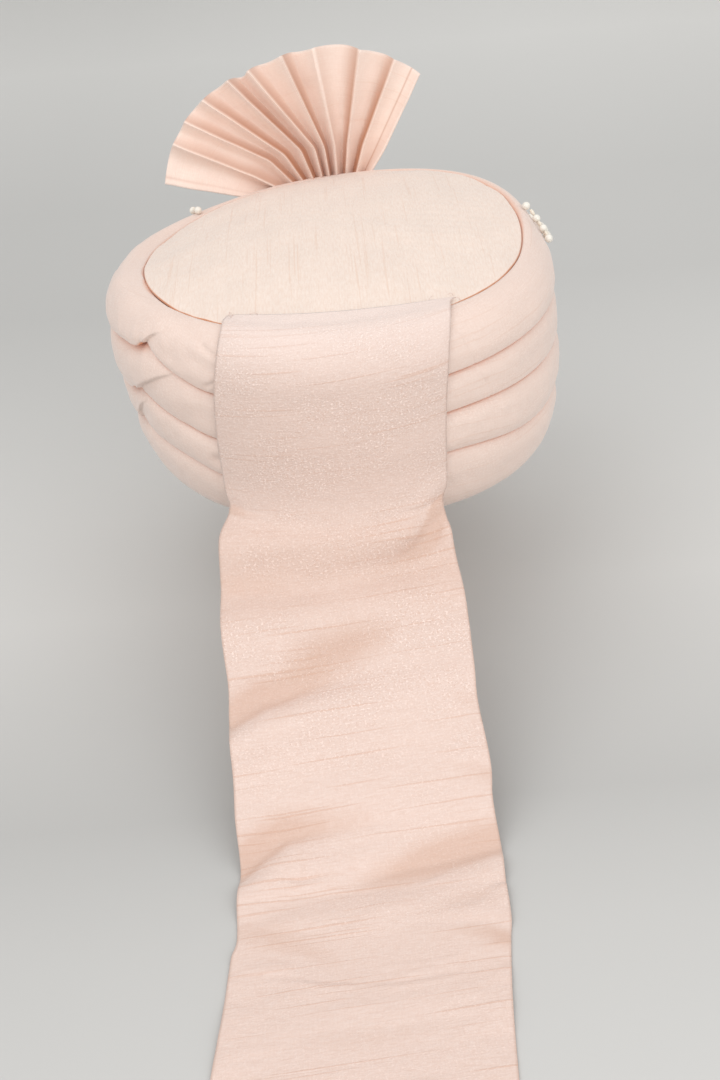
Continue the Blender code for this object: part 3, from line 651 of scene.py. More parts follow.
def silk(name, colour, weft, warp, slub, fold_shade_colour, roughness, sheen=0.35, sparkle=0.3, spot=None):
    """Woven silk: fine threads both ways, long slubs along the weft, painted glints and dark specks.

    The mesh says how much painted shade each point takes in its folds and grooves, where the
    painted glints show and where a painted highlight lies.
    """
    material, tree, shader = new_material(name)
    links = tree.links

    def node(kind, **inputs):
        made = tree.nodes.new(kind)
        for key, value in inputs.items():
            made.inputs[key.replace("_", " ")].default_value = value
        return made

    def threads(scale_u, scale_v, detail, shift=0.0):
        place = (shift, shift, 0.0)
        mapping = node("ShaderNodeMapping", Scale=(scale_u, scale_v, 1.0), Location=place)
        links.new(cloth.outputs["UV"], mapping.inputs["Vector"])
        texture = node("ShaderNodeTexNoise", Scale=1.0, Detail=detail, Roughness=0.6)
        texture.noise_dimensions = "2D"
        links.new(mapping.outputs["Vector"], texture.inputs["Vector"])
        return texture.outputs["Fac"]

    def ramp(value, low, high, low_value=0.0, high_value=1.0):
        made = node("ShaderNodeMapRange")
        made.inputs["From Min"].default_value = low
        made.inputs["From Max"].default_value = high
        made.inputs["To Min"].default_value = low_value
        made.inputs["To Max"].default_value = high_value
        links.new(value, made.inputs["Value"])
        return made.outputs["Result"]

    def joined(operation, a, b):
        made = tree.nodes.new("ShaderNodeMath")
        made.operation = operation
        for socket, value in zip(made.inputs, (a, b)):
            if isinstance(value, float):
                socket.default_value = value
            else:
                links.new(value, socket)
        return made.outputs["Value"]

    def times(a, b):
        return joined("MULTIPLY", a, b)

    def cover(base, fac, colour_over, kind="MIX"):
        made = tree.nodes.new("ShaderNodeMix")
        made.data_type = "RGBA"
        made.blend_type = kind
        links.new(fac, made.inputs[0])
        made.inputs[7].default_value = (*colour_over, 1.0)
        if isinstance(base, tuple):
            made.inputs[6].default_value = (*base, 1.0)
        else:
            links.new(base, made.inputs[6])
        return made.outputs[2]

    def painted(attribute):
        made = tree.nodes.new("ShaderNodeAttribute")
        made.attribute_name = attribute
        return made.outputs["Fac"]

    cloth = tree.nodes.new("ShaderNodeUVMap")
    cloth.uv_map = "cloth"
    weft_threads = threads(1.8, 10.0, 2.0)
    warp_threads = threads(10.0, 1.8, 2.0, 4.0)
    long_slubs = ramp(threads(0.09, 5.5, 1.0, 11.0), 0.675, 0.75)
    fine_slubs = ramp(threads(0.55, 10.0, 1.0, 17.0), 0.64, 0.72)
    # Painted glints: small bright specks standing in for the threads' highlights, with dark specks
    # among them
    glints = ramp(threads(7.5, 11.0, 1.0, 23.0), 0.56, 0.68)
    dark_specks = ramp(threads(8.0, 11.5, 1.0, 31.0), 0.56, 0.70)
    clouds = threads(0.12, 0.7, 2.0)
    zones = times(ramp(threads(0.22, 0.40, 1.0, 41.0), 0.42, 0.60, 0.45, 1.0), painted("lustre"))
    glints = times(glints, zones)
    dark_specks = times(dark_specks, zones)
    slub_colour = shaded(colour, (0.86, 0.71, 0.62))
    dark = shaded(colour, (0.86, 0.76, 0.70))
    light = tuple(min(1.0, 1.12 * channel + 0.045) for channel in colour)
    base = cover(shaded(colour, (0.96, 0.96, 0.96)), ramp(clouds, 0.3, 0.7), colour)
    base = cover(base, ramp(weft_threads, 0.3, 0.7, 0.5 * weft, 0.0), dark)
    base = cover(base, ramp(warp_threads, 0.3, 0.7, 0.5 * warp, 0.0), dark)
    base = cover(base, times(fine_slubs, 0.35 * slub), dark)
    base = cover(base, times(long_slubs, slub), slub_colour)
    base = cover(base, times(dark_specks, 0.8 * sparkle), dark)
    base = cover(base, times(glints, sparkle), light)
    # Painted shade in the folds and grooves, then a painted highlight where the mesh asks for it
    base = cover(base, painted("fold_depth"), fold_shade_colour)
    base = cover(base, painted("gleam"), TAIL_GLEAM)
    if spot:
        place, radius = spot
        where = tree.nodes.new("ShaderNodeTexCoord")
        apart = tree.nodes.new("ShaderNodeVectorMath")
        apart.operation = "DISTANCE"
        apart.inputs[1].default_value = place
        links.new(where.outputs["Object"], apart.inputs[0])
        near = ramp(apart.outputs["Value"], 0.0, radius, 0.35, 0.0)
        base = cover(base, near, (0.6, 0.5, 0.45), "MULTIPLY")
    links.new(base, shader.inputs["Base Color"])
    rough = ramp(weft_threads, 0.2, 0.8, roughness + 0.1, roughness - 0.1)
    links.new(rough, shader.inputs["Roughness"])
    shader.inputs["Sheen Weight"].default_value = sheen
    shader.inputs["Sheen Roughness"].default_value = 0.4
    shader.inputs["Specular IOR Level"].default_value = 0.35
    relief = joined("ADD", times(weft_threads, weft), times(warp_threads, warp))
    relief = joined("ADD", relief, times(long_slubs, 0.6 * slub))
    relief = joined("ADD", relief, times(glints, 0.8 * sparkle))
    bump = node("ShaderNodeBump", Strength=0.6, Distance=0.00035)
    links.new(relief, bump.inputs["Height"])
    links.new(bump.outputs["Normal"], shader.inputs["Normal"])
    return material


def grid_object(name, points, cloth, material, closed_rows=False, **painted):
    """Mesh from a grid of points and cloth coordinates; closed_rows joins each row's ends."""
    rows, columns = points.shape[:2]
    index = np.arange(rows * columns).reshape(rows, columns)
    last = columns if closed_rows else columns - 1
    quads = []
    for k in range(last):
        after = (k + 1) % columns
        corners = (index[:-1, k], index[:-1, after], index[1:, after], index[1:, k])
        quads.append(np.stack(corners, axis=-1))
    quads = np.stack(quads, axis=1).reshape(-1, 4)
    mesh = bpy.data.meshes.new(name)
    mesh.from_pydata(points.reshape(-1, 3).tolist(), [], quads.tolist())
    places = cloth.reshape(-1, 2)[quads].reshape(rows - 1, last, 4, 2)
    if closed_rows:
        after_last = 2 * cloth[:, -1, 0] - cloth[:, -2, 0]
        places[:, -1, 1, 0] = after_last[:-1]
        places[:, -1, 2, 0] = after_last[1:]
    mesh.uv_layers.new(name="cloth").data.foreach_set("uv", places.reshape(-1))
    for title, plain in (("fold_depth", 0.0), ("lustre", 1.0), ("gleam", 0.0)):
        values = painted.get(title, np.full((rows, columns), plain))
        attribute = mesh.attributes.new(title, "FLOAT", "POINT")
        attribute.data.foreach_set("value", values.reshape(-1).astype(np.float32))
    mesh.materials.append(material)
    mesh.shade_smooth()
    return new_object(name, mesh)


def close_shell(obj):
    """Join doubled points, fill a mesh's open ends and turn its faces outwards."""
    bm = bmesh.new()
    bm.from_mesh(obj.data)
    bmesh.ops.remove_doubles(bm, verts=bm.verts, dist=1e-6)
    holes = [edge for edge in bm.edges if edge.is_boundary]
    bmesh.ops.holes_fill(bm, edges=holes, sides=0)
    bmesh.ops.triangulate(bm, faces=[face for face in bm.faces if len(face.verts) > 4])
    bmesh.ops.recalc_face_normals(bm, faces=bm.faces)
    bm.to_mesh(obj.data)
    bm.free()


def dress(obj, node):
    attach(obj, "root")
    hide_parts(node)


def build_wrap(wrap, material):
    azimuth = station_azimuths()
    share = (1 - np.cos(np.pi * np.linspace(0, 1, SKIN_STEPS + 1))) / 2
    A, S = np.meshgrid(azimuth, share)
    skin, painted_shade = wrap_skin(wrap, S, A)
    low, high = wrap_span(wrap, azimuth)

    def inner(z, stand_off):
        half_width, half_length = cap_half_sizes(z, azimuth)
        return at(azimuth, oval_radius(azimuth, half_width + stand_off, half_length + stand_off), z)

    def in_groove(row):
        return row - at(azimuth, np.full(azimuth.shape, GROOVE_REACH), 0.0)

    foot = inner(low, CLEAR)
    before = [foot]
    after = []
    if wrap < WRAPS - 1:
        before.append(in_groove(skin[0]))
    if wrap > 0:
        after.append(in_groove(skin[-1]))
        after.append(inner(high, CLEAR))
    else:
        after.append(inner(high - CROWN_TURN_IN, CLEAR + CROWN_OVER))
        after.append(inner(high - CROWN_DIVE, CLEAR))
        after.append(inner(high - CROWN_DIVE_END, CLEAR))
    rows = np.concatenate((np.array(before), skin, np.array(after), foot[None]))
    # Painted shade: the rows tucked into the grooves and against the cap take the full groove shade
    # colour, the top wrap's turn-in over the crown only half of it at first
    dark = np.ones((len(before), len(azimuth)))
    first_hidden = 0.5 if wrap == 0 else 1.0
    hidden = np.linspace(first_hidden, 1.0, len(after))[:, None] * np.ones((1, len(azimuth)))
    depth = np.concatenate((dark, painted_shade, hidden, dark[:1]))
    run = np.linalg.norm(np.diff(rows, axis=0), axis=-1)
    up = np.concatenate((np.zeros((1, len(azimuth))), np.cumsum(run, axis=0)))
    arc = np.broadcast_to(azimuth * ARC_LENGTH, up.shape)
    cloth = np.stack((arc, up), axis=-1) * 100
    obj = grid_object(f"silk_roll_{wrap + 1}", rows, cloth, material, True, fold_depth=depth)
    close_shell(obj)
    dress(obj, f"roll_{wrap + 1}")


def build_cap(outside, inside):
    """Slub silk crown over the hollow cap, in one closed shell."""
    azimuth = np.arange(0.0, 360.0, 1.0)

    def wall(z, inwards):
        half_width, half_length = cap_half_sizes(z, azimuth)
        return at(azimuth, oval_radius(azimuth, half_width - inwards, half_length - inwards), z)

    def crown(share):
        over = oval_radius(azimuth, CROWN_HALF_WIDTH + CROWN_OVER, CROWN_HALF_LENGTH + CROWN_OVER)
        edge = (1 - share) * oval_radius(azimuth, CROWN_HALF_WIDTH, CROWN_HALF_LENGTH)
        z = crown_height(share, azimuth) - lip(edge, CROWN_EDGE_ROUND)
        return at(azimuth, share * over, z)

    def ceiling(share):
        under = CROWN_HALF_WIDTH - 2 * CROWN_OVER, CROWN_HALF_LENGTH - 2 * CROWN_OVER
        radius = share * 0.985 * oval_radius(azimuth, *under)
        return at(azimuth, radius, crown_height(share, azimuth) - CAP_WALL)

    top = line_height(0, azimuth)
    outer_shares = np.concatenate((np.linspace(0.004, 0.97, 40), np.linspace(0.975, 1.0, 12)))
    rows = [crown(share) for share in outer_shares]
    crown_rows = len(rows)
    rows += [wall((top - CROWN_EDGE_ROUND) * share, 0.0) for share in np.linspace(0.985, 0.0, 8)]
    outer_rows = len(rows)
    rows += [wall((top - 2 * CAP_WALL) * share, CAP_WALL) for share in np.linspace(0.0, 0.985, 14)]
    wall_end = len(rows)
    rows += [ceiling(share) for share in np.linspace(0.96, 0.004, 16)]
    rows = np.array(rows)
    rows[:crown_rows, :, 2] += lumpy(rows[:crown_rows], CROWN_LUMPS)
    cloth = rows[..., [1, 0]] * 100
    walls = rows[crown_rows:wall_end]
    arc = np.broadcast_to(azimuth * ARC_LENGTH, walls.shape[:2])
    cloth[crown_rows:wall_end] = np.stack((arc, walls[..., 2]), axis=-1) * 100
    depth = np.zeros(rows.shape[:2])
    # Painted shade: the crown's rounded edge and the wall below it, tucked under the top wrap, take the
    # full groove shade colour
    depth[crown_rows - 2:outer_rows] = 1.0
    obj = grid_object("crown_cap", rows, cloth, outside, True, fold_depth=depth)
    obj.data.materials.append(inside)
    for index, polygon in enumerate(obj.data.polygons):
        if index // len(azimuth) >= outer_rows:
            polygon.material_index = 1
    close_shell(obj)
    dress(obj, "cap")


def skin_back(x, z, lift):
    """How far behind the origin the outside of the wraps lies at sideways places and heights."""
    azimuth = np.full(np.shape(x), 270.0)
    for _ in range(4):
        inset = skin_inset(z, azimuth) - lift
        y = oval_back(x, HALF_WIDTH - inset, HALF_LENGTH - inset)
        azimuth = np.degrees(np.arctan2(y, x)) % 360.0
    return y


def tail_surface(travel, across):
    """Points of the tail's underside: over the crown, round the top, down the side and away."""
    half_width = TAIL_WIDTH * smooth_table(TAIL_LINE, 1, travel) / 2
    x = TAIL_WIDTH * smooth_table(TAIL_LINE, 2, travel) + across * half_width
    left = smooth_table(TAIL_EDGES, 1, travel) * np.clip(-across, 0, 1) ** 3
    right = smooth_table(TAIL_EDGES, 2, travel) * np.clip(across, 0, 1) ** 3
    x = x + np.where(travel > 1, right - left, 0.0)
    high = WIDEST_HIGH * CAP_HEIGHT
    share = travel / HEM_TRAVEL
    edge = oval_back(x, CROWN_HALF_WIDTH, CROWN_HALF_LENGTH)
    hem = -CROWN_HALF_LENGTH + TAIL_HEM + TAIL_HEM_BOW * across ** 2
    y_crown = np.minimum(hem + (edge - hem) * share, hem)
    azimuth = np.degrees(np.arctan2(y_crown, x))
    reach = np.hypot(x, y_crown) / oval_radius(azimuth, CROWN_HALF_WIDTH, CROWN_HALF_LENGTH)
    z_crown = crown_height(np.minimum(reach, 1.0), azimuth) + TAIL_LIFT
    turn = np.clip((SIDE_TRAVEL - travel) / (SIDE_TRAVEL - HEM_TRAVEL), 0, 1) * np.pi / 2
    z_round = high + (CAP_HEIGHT - high) * np.sin(turn)
    y_round = skin_back(x, z_round, TAIL_LIFT * np.cos(turn))
    z_side = high + (TAIL_LEAVE - high) * np.clip((travel - SIDE_TRAVEL) / (1 - SIDE_TRAVEL), 0, 1)
    y_side = skin_back(x, z_side, TAIL_LIFT)
    leave = skin_back(np.zeros(1), np.array([TAIL_LEAVE]), TAIL_LIFT)[0]
    bowed = skin_back(x, np.full(x.shape, TAIL_LEAVE), TAIL_LIFT)
    flatten = np.clip((travel - 1) / FLAT_TRAVEL, 0.0, 1.0)
    start = leave + (bowed - leave) * (1 - flatten) ** 2
    fall = np.clip(travel - 1, 0.0, 1.0)
    lying = np.clip(travel - 2, 0.0, 1.0)
    y_fall = start - TAIL_RUN * fall - TAIL_LYING * lying
    z_fall = TAIL_LEAVE - TAIL_FALL * (1 - (1 - fall) ** TAIL_FALL_POWER)
    stages = [travel < HEM_TRAVEL, travel < SIDE_TRAVEL, travel <= 1]
    y = np.select(stages, [y_crown, y_round, y_side], y_fall)
    z = np.select(stages, [z_crown, z_round + TAIL_LIFT * np.sin(turn), z_side], z_fall)
    return np.stack((x, y, z), axis=-1)


def grid_normals(points):
    """Unit normals of a grid of points, on the side that faces up or out."""
    along = np.gradient(points, axis=0)
    across = np.gradient(points, axis=1)
    normal = np.cross(across, along)
    normal /= np.linalg.norm(normal, axis=-1, keepdims=True)
    return -normal


def tail_relief(side, run, travel, length):
    """Depth of the tail's creases: each falls steeply below its line and gently above it."""
    relief = np.zeros(run.shape)
    for depth, width, start, end, places in TAIL_FOLDS:
        route = [(share * TAIL_WIDTH / 2, np.interp(place, travel, length)) for place, share in places]
        distance, sign, travelled = stroke(route, side, run)
        middle = 4 * travelled * (1 - travelled)
        strength = start + (end - start) * travelled
        if start == end:
            strength = strength + (1 - strength) * middle
        else:
            strength = strength ** 0.8 * (1 + 0.3 * middle)
        below = sign > 0
        relief += depth * strength * bell(distance, 0.0, np.where(below, 0.8 * width, 1.5 * width))
        relief -= 0.25 * depth * strength * bell(distance, 2.2 * width, width) * below
    return relief


def build_tail(material):
    stages = [np.linspace(low, high, rows, endpoint=whole) for low, high, rows, whole in TAIL_ROWS]
    travel = np.concatenate(stages)
    across = np.linspace(-1, 1, TAIL_COLUMNS)
    T, S = np.meshgrid(travel, across, indexing="ij")
    points = tail_surface(T, S)
    bend = 0.5 * bell(T[1:-1], 1.0, TAIL_BEND, 4)[..., None]
    for _ in range(TAIL_BEND_ROUNDS):
        middle = (points[:-2] + points[2:]) / 2
        points[1:-1, :, 1:] += bend * (middle - points[1:-1])[..., 1:]
    normal = grid_normals(points)
    steps = np.linalg.norm(np.diff(points[:, TAIL_COLUMNS // 2], axis=0), axis=-1)
    length = np.concatenate(([0.0], np.cumsum(steps)))
    run = np.interp(T, travel, length)
    side = S * TAIL_WIDTH / 2
    relief = tail_relief(side, run, travel, length)
    height = np.zeros(T.shape)
    for place, depth, reach, slant in TAIL_WAVES:
        height += depth * bell(T - slant * S, place, reach)
    height *= ramped(T, 1.0, 1.06)
    height -= relief * ramped(T, 0.96, 1.04)
    height += lumpy(points, TAIL_LUMPS)
    settled = 1 - ramped(T, 1.0, 1.08)
    height += (np.abs(0.4 * height) - height) * settled
    stand_off = TAIL_SEAT + TAIL_LOOSE * ramped(T, 0.0, SIDE_TRAVEL)
    pressed = 0.4 * np.minimum(relief, 0.0018) * stand_off / (TAIL_SEAT + TAIL_LOOSE)
    pressed = np.where(T < 1.0, pressed, 0.0)
    height += (stand_off - pressed) * (1 - ramped(T, 1.0, 1.20))
    points = points + normal * height[..., None]
    points[..., 2] = np.maximum(points[..., 2], FLOOR + 0.0004)
    thickness = TAIL_CLOTH * (1 - 0.55 * np.abs(S) ** 24)
    over = points + grid_normals(points) * thickness[..., None]

    def both_faces(under, upper):
        return np.concatenate((under, upper[:, ::-1]), axis=1)

    u = both_faces(side, side + 0.002)
    v = both_faces(run, run)
    cloth = np.stack((u + WEFT_TILT * v, v - WEFT_TILT * u), axis=-1) * 100
    # Painted shade: in the deeper creases, along the side edges of the cloth and in a soft band just
    # below the rim
    painted_shade = np.clip((relief - 0.0008) / 0.0055, 0, 0.42)
    painted_shade = np.maximum(painted_shade, 0.30 * (np.abs(S) > 0.985))
    painted_shade = np.maximum(painted_shade, 0.20 * bell(T, 1.13, 0.13))
    # Painted highlight: lighter, pinker colour on the top of the tail where it lies over the crown
    gleam = 0.48 * bell(T, 0.0, 0.34, 4)
    # Where the painted glints show: strongly high up, fading down the fall, with a patch where the
    # cloth meets the lying level
    lustre = 0.30 + 0.70 * (1 - ramped(T, 1.40, 1.75))
    lustre += 0.45 * bell(T, 2.02, 0.14) * np.clip(0.5 + S, 0.0, 1.0)
    painted = {"fold_depth": painted_shade, "lustre": lustre, "gleam": gleam}
    painted = {title: both_faces(values, values) for title, values in painted.items()}
    obj = grid_object("silk_tail", both_faces(points, over), cloth, material, True, **painted)
    close_shell(obj)
    dress(obj, "tail")


def fan_fold_point(angle, reach, turn, root, row):
    """Point on one fold: it leaves the foot steeply, kinks and then spreads to its tip."""
    foot = CAP_HEIGHT - FAN_FOOT_SINK
    kink_angle = np.radians(angle * turn)
    tip_angle = np.radians(angle)
    kink_x = root + FAN_KINK * reach * np.sin(kink_angle)
    kink_z = foot + FAN_KINK * reach * np.cos(kink_angle)
    tip_x = reach * np.sin(tip_angle)
    tip_z = foot + reach * np.cos(tip_angle)
    low = np.minimum(row / FAN_KINK, 1.0)
    high = np.clip((row - FAN_KINK) / (1 - FAN_KINK), 0.0, 1.0)
    x = np.where(row <= FAN_KINK, root + (kink_x - root) * low, kink_x + (tip_x - kink_x) * high)
    z = np.where(row <= FAN_KINK, foot + (kink_z - foot) * low, kink_z + (tip_z - kink_z) * high)
    return x, z


def build_fan(material):
    steps = 20
    last = len(FAN_FOLDS) - 1
    place = np.linspace(0, last, last * steps + 1)
    angle, reach, turn = (np.interp(place, range(last + 1), column) for column in zip(*FAN_FOLDS))
    panel = np.minimum(place.astype(int), last - 1)
    valley_place, rim_dip, fullness, shade_left, shade_right = np.array(FAN_PANELS).T[:, panel]
    part = place - panel
    left_half = part / valley_place / 2
    right_half = 0.5 + (part - valley_place) / (1 - valley_place) / 2
    warped = np.where(part < valley_place, left_half, right_half)
    dip = 1 - np.abs(2 * warped - 1) ** 1.8
    reach = reach * FAN_REACH * (1 - rim_dip * np.sin(np.pi * part))
    row = np.linspace(0, FAN_KINK, 20, endpoint=False)
    row = np.concatenate((row, np.linspace(FAN_KINK, 1.0, 40)))
    R, P = np.meshgrid(row, place, indexing="ij")
    root = FAN_FOOT_WIDTH * (P / last - 0.5)
    x, z = fan_fold_point(angle[None, :], reach[None, :], turn[None, :], root, R)
    for _ in range(3):
        x[1:-1] = 0.25 * x[:-2] + 0.5 * x[1:-1] + 0.25 * x[2:]
        z[1:-1] = 0.25 * z[:-2] + 0.5 * z[1:-1] + 0.25 * z[2:]
    foot_depth = FAN_FOOT_DEPTH * 0.6
    depth = foot_depth + (FAN_PLEAT_DEPTH - foot_depth) * ramped(R, 0.0, 0.8)
    depth = depth * (1 - (1 - fullness) * R)
    plane = CROWN_HALF_LENGTH + CLEAR + FAN_FOOT_DEPTH / 2
    y = plane + depth * (dip[None, :] - 0.5)
    points = np.stack((x, y, z), axis=-1)
    points[..., 1] += lumpy(points, [FAN_LUMPS]) * R
    flat_x = np.broadcast_to(place * FAN_PANEL_WIDTH, R.shape)
    cloth = np.stack((flat_x, R * FAN_REACH), axis=-1) * 100
    # Painted shade: dark beside the ridges, thin dark lines along the turned hems and dark valleys near
    # the foot
    left = shade_left * bell(part, 0.0, 0.30, 1.6) * ramped(part, 0.0, 0.03)
    right = shade_right * bell(part, 1.0, 0.26, 1.6) * ramped(1 - part, 0.0, 0.03)
    shade = 1.25 * (left + right) * (1 - 0.42 * R ** 2)
    right_hem_shade = 0.45 * (panel == last - 1) * bell(part, 0.70, 0.03)
    left_hem_shade = 0.30 * (panel == 0) * bell(part, 0.16, 0.03)
    shade += right_hem_shade + left_hem_shade * R
    shade += 0.90 * np.maximum(dip - 0.3, 0.0) * (1 - ramped(R, 0.0, 1.3 * FAN_KINK))
    obj = grid_object("silk_fan", points, cloth, material, fold_depth=shade)
    thickness = obj.modifiers.new("cloth", "SOLIDIFY")
    thickness.thickness = FAN_CLOTH
    thickness.offset = 0.0
    obj.data.set_sharp_from_angle(angle=math.radians(35))
    bpy.context.view_layer.update()
    dress(obj, "fan")


def pearl_material(name, colour, roughness):
    material, tree, shader = new_material(name)
    where = tree.nodes.new("ShaderNodeTexCoord")
    texture = tree.nodes.new("ShaderNodeTexNoise")
    texture.inputs["Scale"].default_value = 350.0
    mix = tree.nodes.new("ShaderNodeMix")
    mix.data_type = "RGBA"
    mix.inputs[6].default_value = (*colour, 1.0)
    mix.inputs[7].default_value = (*shaded(colour, (0.86, 0.86, 0.86)), 1.0)
    tree.links.new(where.outputs["Object"], texture.inputs["Vector"])
    tree.links.new(texture.outputs["Fac"], mix.inputs[0])
    tree.links.new(mix.outputs[2], shader.inputs["Base Color"])
    shader.inputs["Roughness"].default_value = roughness
    shader.inputs["Coat Weight"].default_value = 0.6
    shader.inputs["Coat Roughness"].default_value = 0.12
    return material


def build_pearls(pearl, small_bead):
    """Large pearls with three small beads between them, side by side on one line."""
    rows = [(k, *place) for k, place in enumerate(PEARL_ROUTE)]
    place = np.linspace(0, len(rows) - 1, 1200)
    azimuth = smooth_table(rows, 1, place)
    share = smooth_table(rows, 2, place)
    skin, _ = wrap_skin(0, share, azimuth)
    upper, _ = wrap_skin(0, np.minimum(share + 0.01, 1.0), azimuth)
    normal = np.cross(np.gradient(skin, axis=0), upper - skin)
    normal /= np.maximum(np.linalg.norm(normal, axis=-1, keepdims=True), 1e-9)
    normal *= np.sign((normal * skin * (1, 1, 0)).sum(-1))[:, None]
    length = np.linalg.norm(np.diff(skin, axis=0), axis=-1)
    length = np.concatenate(([0.0], np.cumsum(length)))
    line = skin + normal * (PEARL_SIZE / 2 + CLEAR)
    count = int(round(length[-1] / PEARL_PITCH))
    spacing = length[-1] / count
    bm = bmesh.new()
    for k in range(count + 1):
        for shift, size, slot, sides in BEADS if k < count else BEADS[:1]:
            distance = (k + shift) * spacing
            centre = Vector([np.interp(distance, length, line[:, axis]) for axis in range(3)])
            made = bmesh.ops.create_uvsphere(
                bm,
                u_segments=sides,
                v_segments=sides // 2,
                radius=size / 2,
                matrix=Matrix.Translation(centre),
            )
            for face in {face for vert in made["verts"] for face in vert.link_faces}:
                face.material_index = slot
                face.smooth = True
    mesh = bpy.data.meshes.new("pearl_string")
    bm.to_mesh(mesh)
    bm.free()
    mesh.materials.append(pearl)
    mesh.materials.append(small_bead)
    dress(new_object("pearl_string", mesh), "pearls")


def build_tacks(material):
    """Short threads that tack the hem of the tail to the crown."""
    curve = bpy.data.curves.new("hem_tacks", "CURVE")
    curve.dimensions = "3D"
    curve.bevel_depth = THREAD / 2
    curve.bevel_resolution = 2
    curve.use_fill_caps = True
    for x, y, run_x, run_y in TACKS:
        spline = curve.splines.new("POLY")
        spline.points.add(4)
        for k, point in enumerate(spline.points):
            t = k / 4
            px, py = x + run_x * t, y + run_y * t
            azimuth = math.degrees(math.atan2(py, px))
            edge = oval_radius(azimuth, CROWN_HALF_WIDTH, CROWN_HALF_LENGTH)
            share = min(math.hypot(px, py) / edge, 1.0)
            z = float(crown_height(share, np.array(azimuth))) + THREAD
            z += 0.0022 * (1 - t) ** 0.5 + 0.0006 * math.sin(math.pi * t)
            point.co = (px, py, z, 1.0)
    curve.materials.append(material)
    obj = new_object("hem_tacks", curve)
    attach(obj, "root")


def build_floor():
    """Pale floor that curves up into a backdrop far behind."""
    bend = np.linspace(0.05, 1.5, 16)
    depths = np.concatenate((np.linspace(-5.0, 2.6, 40), 2.6 + 0.6 * np.sin(bend), [3.22]))
    rises = np.concatenate((np.zeros(40), 0.6 * (1 - np.cos(bend)), [2.6]))
    across = np.linspace(-3.0, 3.0, 12)
    points = np.array([[(x, y, FLOOR + z) for x in across] for y, z in zip(depths, rises)])
    material, tree, shader = new_material("pale floor")
    shader.inputs["Roughness"].default_value = 0.9
    where = tree.nodes.new("ShaderNodeTexCoord")
    split = tree.nodes.new("ShaderNodeSeparateXYZ")
    low, high = FLOOR_TONE_SPAN
    place = tree.nodes.new("ShaderNodeMapRange")
    place.inputs["From Min"].default_value = low
    place.inputs["From Max"].default_value = high
    ramp = tree.nodes.new("ShaderNodeValToRGB")
    elements = ramp.color_ramp.elements
    elements.remove(elements[-1])
    # Painted light and shadow along Y
    for k, (y, tone) in enumerate(FLOOR_TONES):
        position = min(1.0, (y - low) / (high - low))
        element = elements[0] if k == 0 else elements.new(position)
        element.position = position
        element.color = (*(tone * tint for tint in FLOOR_TINT), 1.0)
    tree.links.new(where.outputs["Object"], split.inputs["Vector"])
    tree.links.new(split.outputs["Y"], place.inputs["Value"])
    tree.links.new(place.outputs["Result"], ramp.inputs["Fac"])
    # Painted light: paler towards +X
    side = tree.nodes.new("ShaderNodeMapRange")
    names = ("From Min", "From Max", "To Min", "To Max")
    for name, value in zip(names, FLOOR_SIDE_SPAN + FLOOR_SIDE_TONES):
        side.inputs[name].default_value = value
    tree.links.new(split.outputs["X"], side.inputs["Value"])
    tint = tree.nodes.new("ShaderNodeVectorMath")
    tint.operation = "SCALE"
    tree.links.new(ramp.outputs["Color"], tint.inputs[0])
    tree.links.new(side.outputs["Result"], tint.inputs["Scale"])
    tree.links.new(tint.outputs["Vector"], shader.inputs["Base Color"])
    cloth = points[..., :2]
    grid_object("floor", points, cloth, material)


def build_lights():
    for name, place, target, size, power in LIGHTS:
        light = bpy.data.lights.new(name, "AREA")
        light.shape = "DISK"
        light.size = size
        light.energy = power
        obj = new_object(name, light)
        obj.location = place
        towards = Vector(target) - Vector(place)
        obj.rotation_euler = towards.to_track_quat("-Z", "Y").to_euler()
    world = bpy.data.worlds.new("studio")
    bpy.context.scene.world = world
    world.use_nodes = True
    background = world.node_tree.nodes["Background"]
    background.inputs["Color"].default_value = (*WORLD_COLOUR, 1.0)
    background.inputs["Strength"].default_value = WORLD_STRENGTH
    bpy.context.scene.view_settings.view_transform = "Standard"


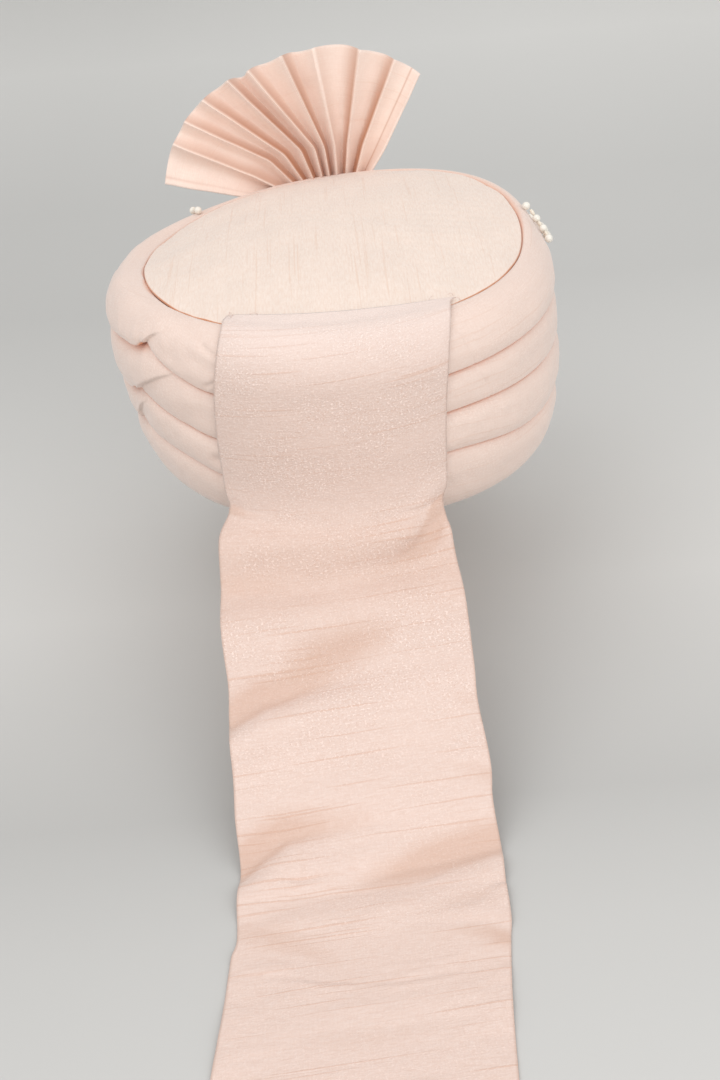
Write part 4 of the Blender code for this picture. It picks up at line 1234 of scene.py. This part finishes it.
def build_camera():
    """Camera at the photo's viewing angle: looking down and a little rolled."""
    angles = (CAMERA_PITCH, CAMERA_YAW, CAMERA_ROLL)
    pitch, yaw, roll = (math.radians(angle) for angle in angles)
    level = math.cos(pitch)
    forward = Vector((math.sin(yaw) * level, math.cos(yaw) * level, -math.sin(pitch)))
    right = Vector((math.cos(yaw), -math.sin(yaw), 0.0))
    up = right.cross(forward)
    rolled_right = right * math.cos(roll) + up * math.sin(roll)
    rolled_up = up * math.cos(roll) - right * math.sin(roll)
    data = bpy.data.cameras.new("camera")
    data.lens = CAMERA_LENS
    data.sensor_width = SENSOR_WIDTH
    camera = new_object("camera", data)
    turn = Matrix((rolled_right, rolled_up, -forward)).transposed().to_4x4()
    camera.matrix_world = Matrix.Translation(CAMERA_PLACE) @ turn
    bpy.context.scene.camera = camera


def build_turban():
    # name, colour, weft, warp and slub strength, painted shade colour in the folds, roughness
    wrap_silk = silk("wrap silk", WRAP_COLOUR, 0.40, 0.35, 0.25, WRAP_GROOVE_SHADE, 0.5)
    crown_silk = silk(
        "crown slub silk", CROWN_COLOUR, 0.90, 0.25, 0.36, CROWN_GROOVE_SHADE, 0.6, sparkle=0.12
    )
    tail_silk = silk(
        "tail slub silk", TAIL_COLOUR, 0.70, 0.45, 0.62, TAIL_FOLD_SHADE, 0.4, sparkle=1.0, spot=TAIL_SPOT
    )
    fan_silk = silk("fan silk", FAN_COLOUR, 0.30, 0.26, 0.2, FAN_FOLD_SHADE, 0.5, sparkle=0.15)
    lining = silk("plain inside", INSIDE_COLOUR, 0.30, 0.30, 0.0, CROWN_GROOVE_SHADE, 0.7, sheen=0.1)
    build_cap(crown_silk, lining)
    for wrap in range(WRAPS):
        build_wrap(wrap, wrap_silk)
    build_tail(tail_silk)
    build_fan(fan_silk)
    pearl = pearl_material("cream pearl", PEARL_COLOUR, 0.22)
    small_bead = pearl_material("small cream bead", BEAD_COLOUR, 0.3)
    build_pearls(pearl, small_bead)
    build_tacks(tail_silk)


build_floor()
build_lights()
build_camera()
build_turban()
